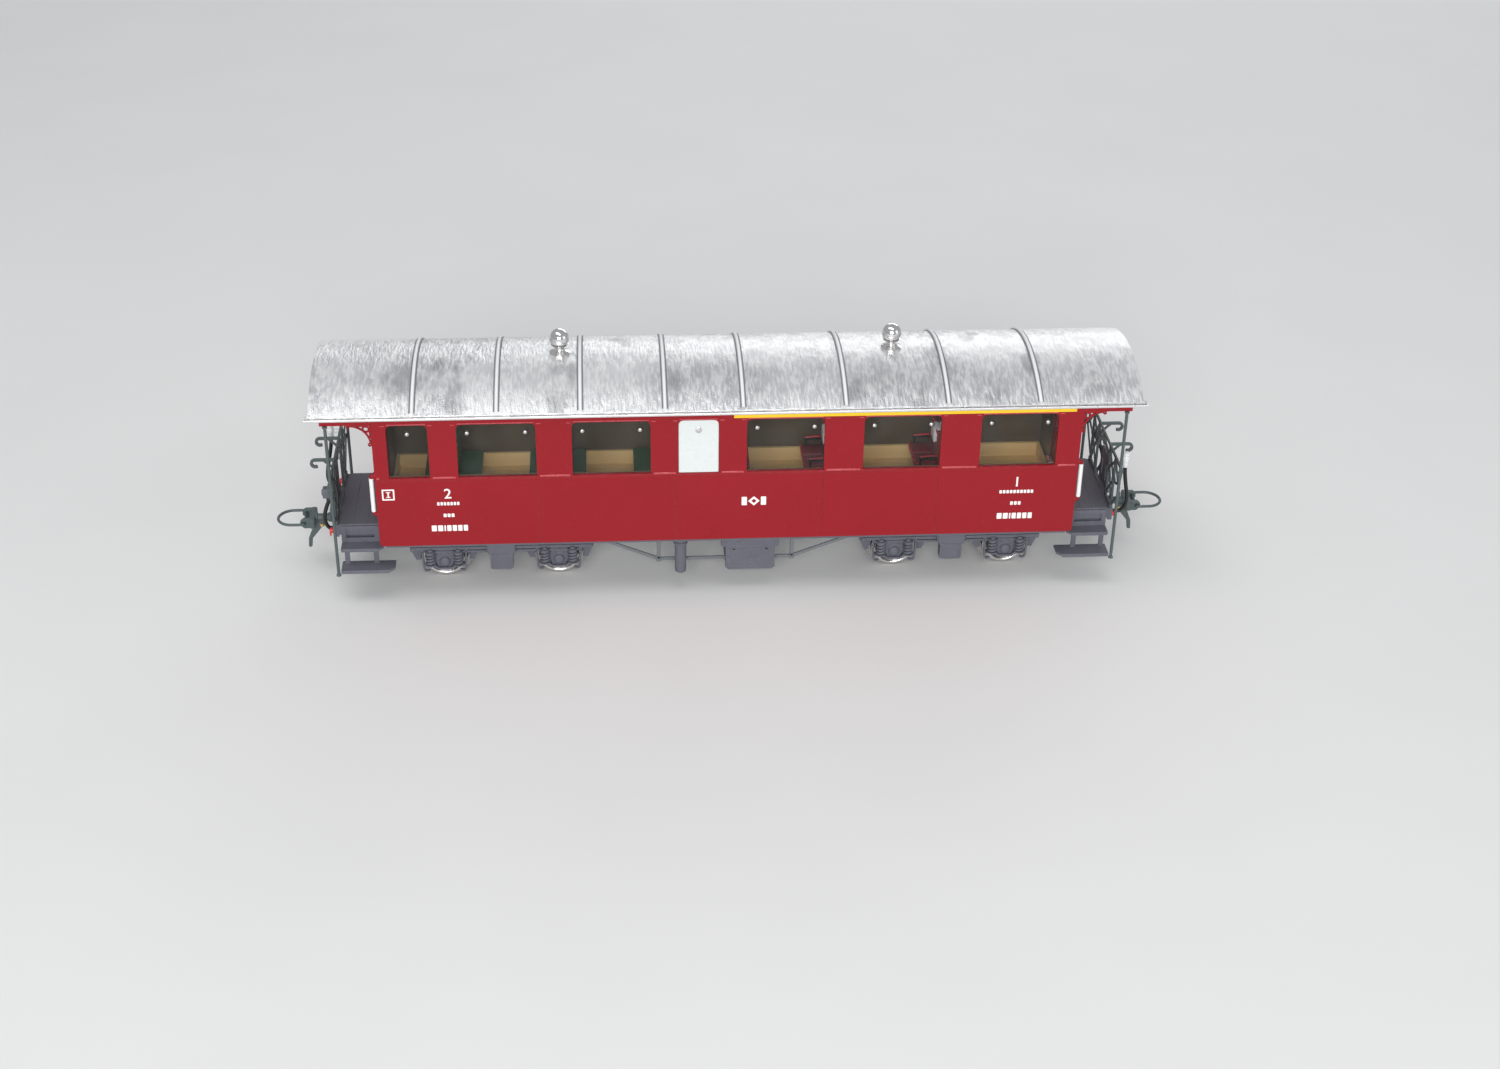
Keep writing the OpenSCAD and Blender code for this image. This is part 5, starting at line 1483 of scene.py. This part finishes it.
def interior():
    make("wall_linings", "partition_brown", lining())
    make("second_class_benches", "seat_green", placed(bench, SECOND), ["benches_second"])
    make("first_class_seats", "seat_wine", placed(lounge, FIRST), ["seats_first"])
    # The bright red rods are partly piping, partly painted highlight on the seat edges.
    make("first_class_piping", "piping_red", placed(piping, FIRST))
    make("first_class_arms", "plinth_black", placed(arm_rest, FIRST))
    make("headrest_cloth_set", "headrest_white", placed(headrest, FIRST), ["headrest_cloths"])
    make("seat_plinth_set", "plinth_black", placed(plinth, SECOND + FIRST), ["seat_plinths"])
    post = lathe([(0, 0), (0.4, 0), (0.4, 2.9)], 18)
    post[0].append(Vector((0, 0, 2.9)))
    leads = [(sign * 58.5 + x, 0.5, at_rail(12.6) + 0.9) for sign in (-1, 1) for x in (-0.7, 0.7)]
    sleeve = lathe([(0, 0), (0.4, 0), (0.42, 0.3), (0.38, 0.4), (0.4, 2.9), (0.3, 3.05), (0, 3.05)], 18)
    tip = lathe([(0, 3.0), (0.24, 3.0), (0.26, 3.3)] + dome(0.3, 3.65, -40, 90, 8), 18)
    make("lead_sleeves", "hose_rubber", set_out(sleeve, leads), ["lead_posts"])
    make("lead_tips", "screw_steel", set_out(tip, leads))
    wall_top, tray_z, t = at_rail(37), at_rail(12.6), 0.5
    walls = []
    for x in (-12.25, -0.2):
        walls.append(block((x - t / 2, -inner_y + 1.2, tray_z), (x + t / 2, -1.8, wall_top), 0.08))
    walls.append(block((-11.9, -1.8 - t, tray_z), (-0.55, -1.8, wall_top), 0.08))
    walls.append(block((-0.95, 1.8, tray_z), (-0.45, inner_y - 1.2, wall_top), 0.08))
    panels = [[eased(y0, tray_z + 1, y1, wall_top - 0.6, 0.3, 3)] for y0, y1 in ((-12.6, -2.6),)]
    walls += [plate_x(x, p, 0.12, 0.04) for p in panels for x in (-12.58, 0.01)]
    make("saloon_partitions", "partition_brown", joined(*walls), ["partitions"])


# ---- Bogies ----

pivot_x = 43.3
half_base = 10.9
axle_z = 5.2
guard_y = 8.2


def horn_plate():
    """The plates round one axlebox, centred on it, in X and Z."""
    guides = plate_y(guard_y, [eased(-1.7, -1.2, 1.7, 3.3, 0.2, 3)], 0.3)
    outline = [(-1.9, 1.75), (-1.9, 0.2), (-1.45, -0.95), (-0.8, -1.7), (0.8, -1.7), (1.45, -0.95),
               (1.9, 0.2), (1.9, 1.75)]
    face = plate_y(guard_y + 0.25, [rounded(outline, 0.22, 3)], 0.4, 0.08)
    seat_bar = [(-3.8, -0.6), (-1.9, -0.95), (-1.3, -1.45), (1.3, -1.45), (1.9, -0.95), (3.8, -0.6)]
    web = facing_y(straps([seat_bar], 0.45, 1.1), guard_y + 0.2)
    cover = lathe([(0, 0), (1.25, 0), (1.25, 0.14), (1.05, 0.2), (1.02, 0.42), (0.86, 0.62), (0.5, 0.76),
                   (0, 0.8)], 32)
    cover = moved(lying_y(cover), 0, guard_y + 0.6, 0)
    studs = [(x, guard_y + 0.63, z) for x, z in ((-1.5, 1.35), (1.5, 1.35), (-0.8, 1.4), (0.8, 1.4),
                                                 (-1.1, -1.0), (1.1, -1.0))]
    heads = bolt_heads(studs, TURN_FAR, 0.22, 0.2, 10)
    return joined(guides, face, web, cover, heads)


def stirrups():
    """Bent strap hangers on both sides of an axlebox, in X and Z."""
    sweep = []
    for side in (-1, 1):
        sweep.append([tuple(p.xy) for p in smooth(
            [(side * 4.15, 3.3, 0), (side * 4.1, 0.8, 0), (side * 3.95, -1.5, 0), (side * 3.5, -1.95, 0),
             (side * 2.9, -1.8, 0)], 5)])
    return facing_y(straps(sweep, 0.38, 0.55), guard_y + 0.7)


def bogie_side():
    """One cast side: two beams, horn plates, springs, hangers and the bolster's cap and pocket."""
    parts = []
    for half, z0, z1, reach in ((17.3, 7.95, 8.6, 1.45), (15.2, 7.2, 7.65, 1.25)):
        parts.append(block((-half, guard_y, z0), (half, guard_y + reach, z1), 0.1))
    for side in (-1, 1):
        parts.append(block((side * 17 - 0.35, guard_y, 7.4), (side * 17 + 0.35, guard_y + 0.9, 9.4), 0.1))
        parts.append(moved(horn_plate(), side * half_base, 0, axle_z))
        parts.append(moved(stirrups(), side * half_base, 0, axle_z))
        feet = [(side * half_base + d * 2.65, guard_y + 1.45, 4.95) for d in (-1, 1)]
        parts.append(SPRINGS.grow(feet, Radius=0.68, Wire=0.24, Height=2.6, Turns=4.0))
        core = lathe([(0, -0.2), (0.92, -0.2), (0.92, 0.0), (0.36, 0.05), (0.36, 2.5), (0.88, 2.55),
                      (0.88, 2.8), (0.5, 2.95), (0.45, 3.3), (0, 3.35)], 20)
        parts.append(set_out(core, feet))
        parts.append(block((side * half_base - 1.5, guard_y, 7.5),
                           (side * half_base + 1.5, guard_y + 1.0, 8.1)))
    heads = [(x, guard_y + 1.4, 8.28) for x in (-15.8, -13.6, -8.2, -4.6, 4.6, 8.2, 13.6, 15.8)]
    parts.append(bolt_heads(heads, TURN_FAR, 0.2, 0.16, 10))
    cap = rounded([(-2.8, 9.9), (-2.8, 7.8), (-2.3, 7.2), (2.3, 7.2), (2.8, 7.8), (2.8, 9.9)], 0.3, 4)
    parts.append(plate_y(guard_y + 0.1, [cap], 2.3, 0.3))
    pocket = rounded([(-2.15, 7.6), (-2.15, 4.1), (-1.85, 3.8), (1.85, 3.8), (2.15, 4.1), (2.15, 7.6)],
                     0.12, 3)
    parts.append(plate_y(guard_y + 0.1, [pocket], 1.95, 0.1))
    for x in (-1.9, 1.9):
        parts.append(block((x - 0.22, guard_y + 1.9, 4.1), (x + 0.22, guard_y + 2.25, 7.3), 0.06))
    return joined(*parts)


def bogie_middle():
    """Transom, spine and centre boss between the sides."""
    return joined(block((-3.3, -8.2, at_rail(6.4)), (3.3, 8.2, at_rail(8.8)), 0.15),
                  block((-15, -4.3, at_rail(7)), (15, 4.3, at_rail(8)), 0.12),
                  moved(lathe([(1.1, 0), (2.6, 0), (2.6, 3.5), (2.3, 3.55), (1.1, 3.55)], 36, closed=True),
                        0, 0, at_rail(7)))


def wheel():
    """Tyre, then web and hub of the wheel on the +Y side, about the axle line."""
    back = 5.15
    tyre = [(3.45, 0), (4.95, 0), (5.14, 0.1), (5.2, 0.26), (5.14, 0.42), (4.9, 0.55), (4.5, 0.62),
            (4.36, 0.75), (4.3, 0.9), (4.26, 1.95), (4.1, 2.16), (3.95, 2.2), (3.6, 2.2), (3.45, 2.1)]
    web = [(0.72, 0.05), (1.55, 0.05), (1.7, 0.4), (2.2, 0.62), (3.0, 0.62), (3.3, 0.3), (3.5, 0.25),
           (3.5, 1.9), (3.3, 1.85), (3.0, 1.5), (2.2, 1.4), (1.75, 1.55), (1.5, 2.05), (1.3, 2.15),
           (0.72, 2.15)]
    return [moved(lying_y(lathe(profile, 64, closed=True)), 0, back, 0) for profile in (tyre, web)]


def axle():
    half = [(0.5, 9.3), (0.42, 9.4), (0, 9.4)]
    profile = [(0, -9.4), (0.42, -9.4), (0.5, -9.3), (0.5, -7.8), (0.68, -7.75), (0.75, -7.65),
               (0.75, -5.0), (0.95, -4.9), (0.95, -4.6), (0.75, -4.5), (0.75, 4.5), (0.95, 4.6),
               (0.95, 4.9), (0.75, 5.0), (0.75, 7.65), (0.68, 7.75), (0.5, 7.8)] + half
    return lying_y(lathe(profile, 24))


def running_gear():
    sides, middle = both_sides(bogie_side()), bogie_middle()
    tyre, web = (both_sides(part) for part in wheel())
    spindle = axle()
    for side, bogie in ((-1, "left"), (1, "right")):
        x = side * pivot_x
        make(f"bogie_side_frames_{bogie}", "frame_grey", moved(sides, x, 0, 0), [f"axleguards_{bogie}"],
             body=f"bogie_{bogie}")
        make(f"bogie_centre_{bogie}", "frame_grey", moved(middle, x, 0, 0), [f"bogie_frame_{bogie}"],
             body=f"bogie_{bogie}")
    number = 0
    for side in (-1, 1):
        for end in (-1, 1):
            number += 1
            x = side * pivot_x + end * half_base
            rides = f"wheelset_{number}"
            make(f"wheel_tyres_{number}", "tyre_bright", moved(tyre, x, 0, axle_z), [f"wheels_{number}"],
                 body=rides)
            make(f"wheel_webs_{number}", "wheel_metal", moved(web, x, 0, axle_z), body=rides)
            make(f"axle_spindle_{number}", "axle_steel", moved(spindle, x, 0, axle_z), [f"axle_{number}"],
                 body=rides)


# ---- Couplers, made at the right-hand end ----

coupler_z = at_rail(9.4)
swing_x, head_x = 66.5, 80.0
reach_x = 86.6
loop_half, loop_wire = 3.1, 0.55


def coupler():
    """Shank, buffer tube, head with ears, and the trip hook under it."""
    eye = lathe([(0.78, -0.5), (1.6, -0.5), (1.7, -0.4), (1.7, 1.0), (1.6, 1.1), (0.78, 1.1)], 32,
                closed=True)
    tube = lathe([(0, 0), (0.75, 0), (0.75, 0.5), (0.95, 0.6), (0.95, 1.2), (0.75, 1.3), (0.75, 3.2),
                  (1.0, 3.35), (1.0, 3.9), (0.75, 4.2), (0, 4.2)], 28)
    parts = [moved(eye, swing_x, 0, coupler_z),
             block((swing_x + 1.2, -0.9, coupler_z - 0.5), (76, 0.9, coupler_z + 0.6), 0.15),
             moved(lying_x(tube), 75.5, 0, coupler_z),
             block((head_x - 0.9, -2.7, coupler_z - 1.1), (head_x + 0.2, 2.7, coupler_z + 0.9), 0.2)]
    ear = rounded([(head_x - 0.2, coupler_z - 1.1), (head_x + 1.2, coupler_z - 1.1),
                   (head_x + 1.9, coupler_z - 0.4), (head_x + 1.9, coupler_z + 0.4),
                   (head_x + 1.3, coupler_z + 0.9), (head_x - 0.2, coupler_z + 0.9)], 0.3, 4)
    hole = ring_outline((head_x + 1.1, coupler_z), 0.34, 16)
    for y in (-2.4, 1.6):
        parts.append(plate_y(y, [ear, hole], 0.8, 0.1))
    hook = rounded([(head_x - 2.6, coupler_z - 0.5), (head_x - 0.6, coupler_z - 0.9),
                    (head_x + 0.9, at_rail(4.8)), (head_x + 1.05, at_rail(2.9)),
                    (head_x + 0.4, at_rail(2.9)), (head_x + 0.15, at_rail(4.8)),
                    (head_x - 1.6, at_rail(7.0))], 0.3, 4)
    parts.append(plate_y(-0.35, [hook], 0.7, 0.12))
    screw = lathe([(0, 0), (0.5, 0), (0.5, 0.5), (0.38, 0.65), (0, 0.65)], 20)
    return joined(*parts), moved(rotated(screw, 180, "X"), head_x - 1.9, -0.05, coupler_z - 1.3)


def coupler_loop():
    """The bail of wire: a pin through the ears, two legs and a round bow."""
    leg = loop_half - loop_wire / 2
    bow_x, pin_x = reach_x - loop_half, head_x + 1.1
    turn = 0.35
    path = [(pin_x, -leg + turn), (pin_x + 0.1, -leg + 0.1), (pin_x + turn, -leg)]
    path += arc((bow_x, 0), leg, -90, 90, 24)
    path += [(pin_x + turn, leg), (pin_x + 0.1, leg - 0.1), (pin_x, leg - turn)]
    return moved(rods([[(x, y, 0) for x, y in path]], loop_wire, 14, closed=True), 0, 0, coupler_z)


def couplers():
    casting, screw = coupler()
    loop = coupler_loop()
    for name, shapes in (("right", (casting, screw, loop)),
                         ("left", [mirrored(s, X) for s in (casting, screw, loop)])):
        make(f"coupler_casting_{name}", "railing_grey", shapes[0], [f"coupler_{name}"],
             body=f"coupler_{name}_body")
        make(f"coupler_screw_{name}", "door_brass", shapes[1], body=f"coupler_{name}_body")
        make(f"coupler_bail_{name}", "railing_grey", shapes[2], [f"coupler_loop_{name}"],
             body=f"loop_{name}")


body()
window_fittings()
markings()
roof()
roof_carriers()
platforms()
end_fittings()
underfloor()
interior()
running_gear()
couplers()

# ---- Stage, lights and camera ----

stand_size = 6.0


def stand():
    """The pale floor under the wheels."""
    f = Finish("floor_pale_board")
    grain = f.noise(40, 3)
    finish = f.done(Base_Color=f.mix(grain, (0.68, 0.68, 0.67), (0.72, 0.72, 0.71)), Roughness=0.75)
    mesh = bpy.data.meshes.new("floor")
    bm = bmesh.new()
    bmesh.ops.create_grid(bm, x_segments=1, y_segments=1, size=stand_size / 2)
    bm.to_mesh(mesh)
    bm.free()
    mesh.materials.append(finish)
    floor = bpy.data.objects.new("floor", mesh)
    bpy.context.scene.collection.objects.link(floor)


def soft_light(name, size, power, place):
    """An area light turned to the middle of the coach."""
    light = bpy.data.lights.new(name, "AREA")
    light.shape = "RECTANGLE"
    light.size, light.size_y = size
    light.energy = power
    lamp = bpy.data.objects.new(name, light)
    lamp.location = place
    lamp.rotation_euler = (Vector((0, 0, 0.02)) - Vector(place)).to_track_quat("-Z", "Y").to_euler()
    bpy.context.scene.collection.objects.link(lamp)


def lighting():
    soft_light("key_softbox", (0.5, 0.35), 6.4, (-0.10, -0.85, 0.40))
    soft_light("fill_softbox", (0.6, 0.6), 1.0, (0.9, -0.5, 0.35))
    soft_light("back_softbox", (0.8, 0.4), 2.0, (0.25, 0.9, 0.35))
    soft_light("top_softbox", (0.9, 0.3), 3.0, (-0.15, -0.2, 0.95))
    world = bpy.data.worlds.new("studio")
    world.use_nodes = True
    sky = world.node_tree.nodes["Background"]
    sky.inputs["Color"].default_value = (0.93, 0.95, 1.0, 1)
    sky.inputs["Strength"].default_value = 0.42
    bpy.context.scene.world = world
    bpy.context.scene.view_settings.view_transform = "Standard"


def camera():
    """A camera looking down at the coach's near side from just left of its middle."""
    place = Vector((-0.0224, -0.3635, 0.2203))
    heading, tilt, roll = 0.0753, 0.5351, -0.0159
    ahead = Vector((math.sin(heading) * math.cos(tilt), math.cos(heading) * math.cos(tilt),
                    -math.sin(tilt)))
    right = Vector((math.cos(heading), -math.sin(heading), 0))
    down = ahead.cross(right)
    x = right * math.cos(roll) + down * math.sin(roll)
    y = right * math.sin(roll) - down * math.cos(roll)
    turn = Matrix((x, y, -ahead)).transposed().to_4x4()
    data = bpy.data.cameras.new("camera")
    data.sensor_width = 36
    data.lens = 51.55
    data.clip_start = 0.01
    shot = bpy.data.objects.new("camera", data)
    shot.matrix_world = Matrix.Translation(place) @ turn
    bpy.context.scene.collection.objects.link(shot)
    bpy.context.scene.camera = shot


stand()
lighting()
camera()
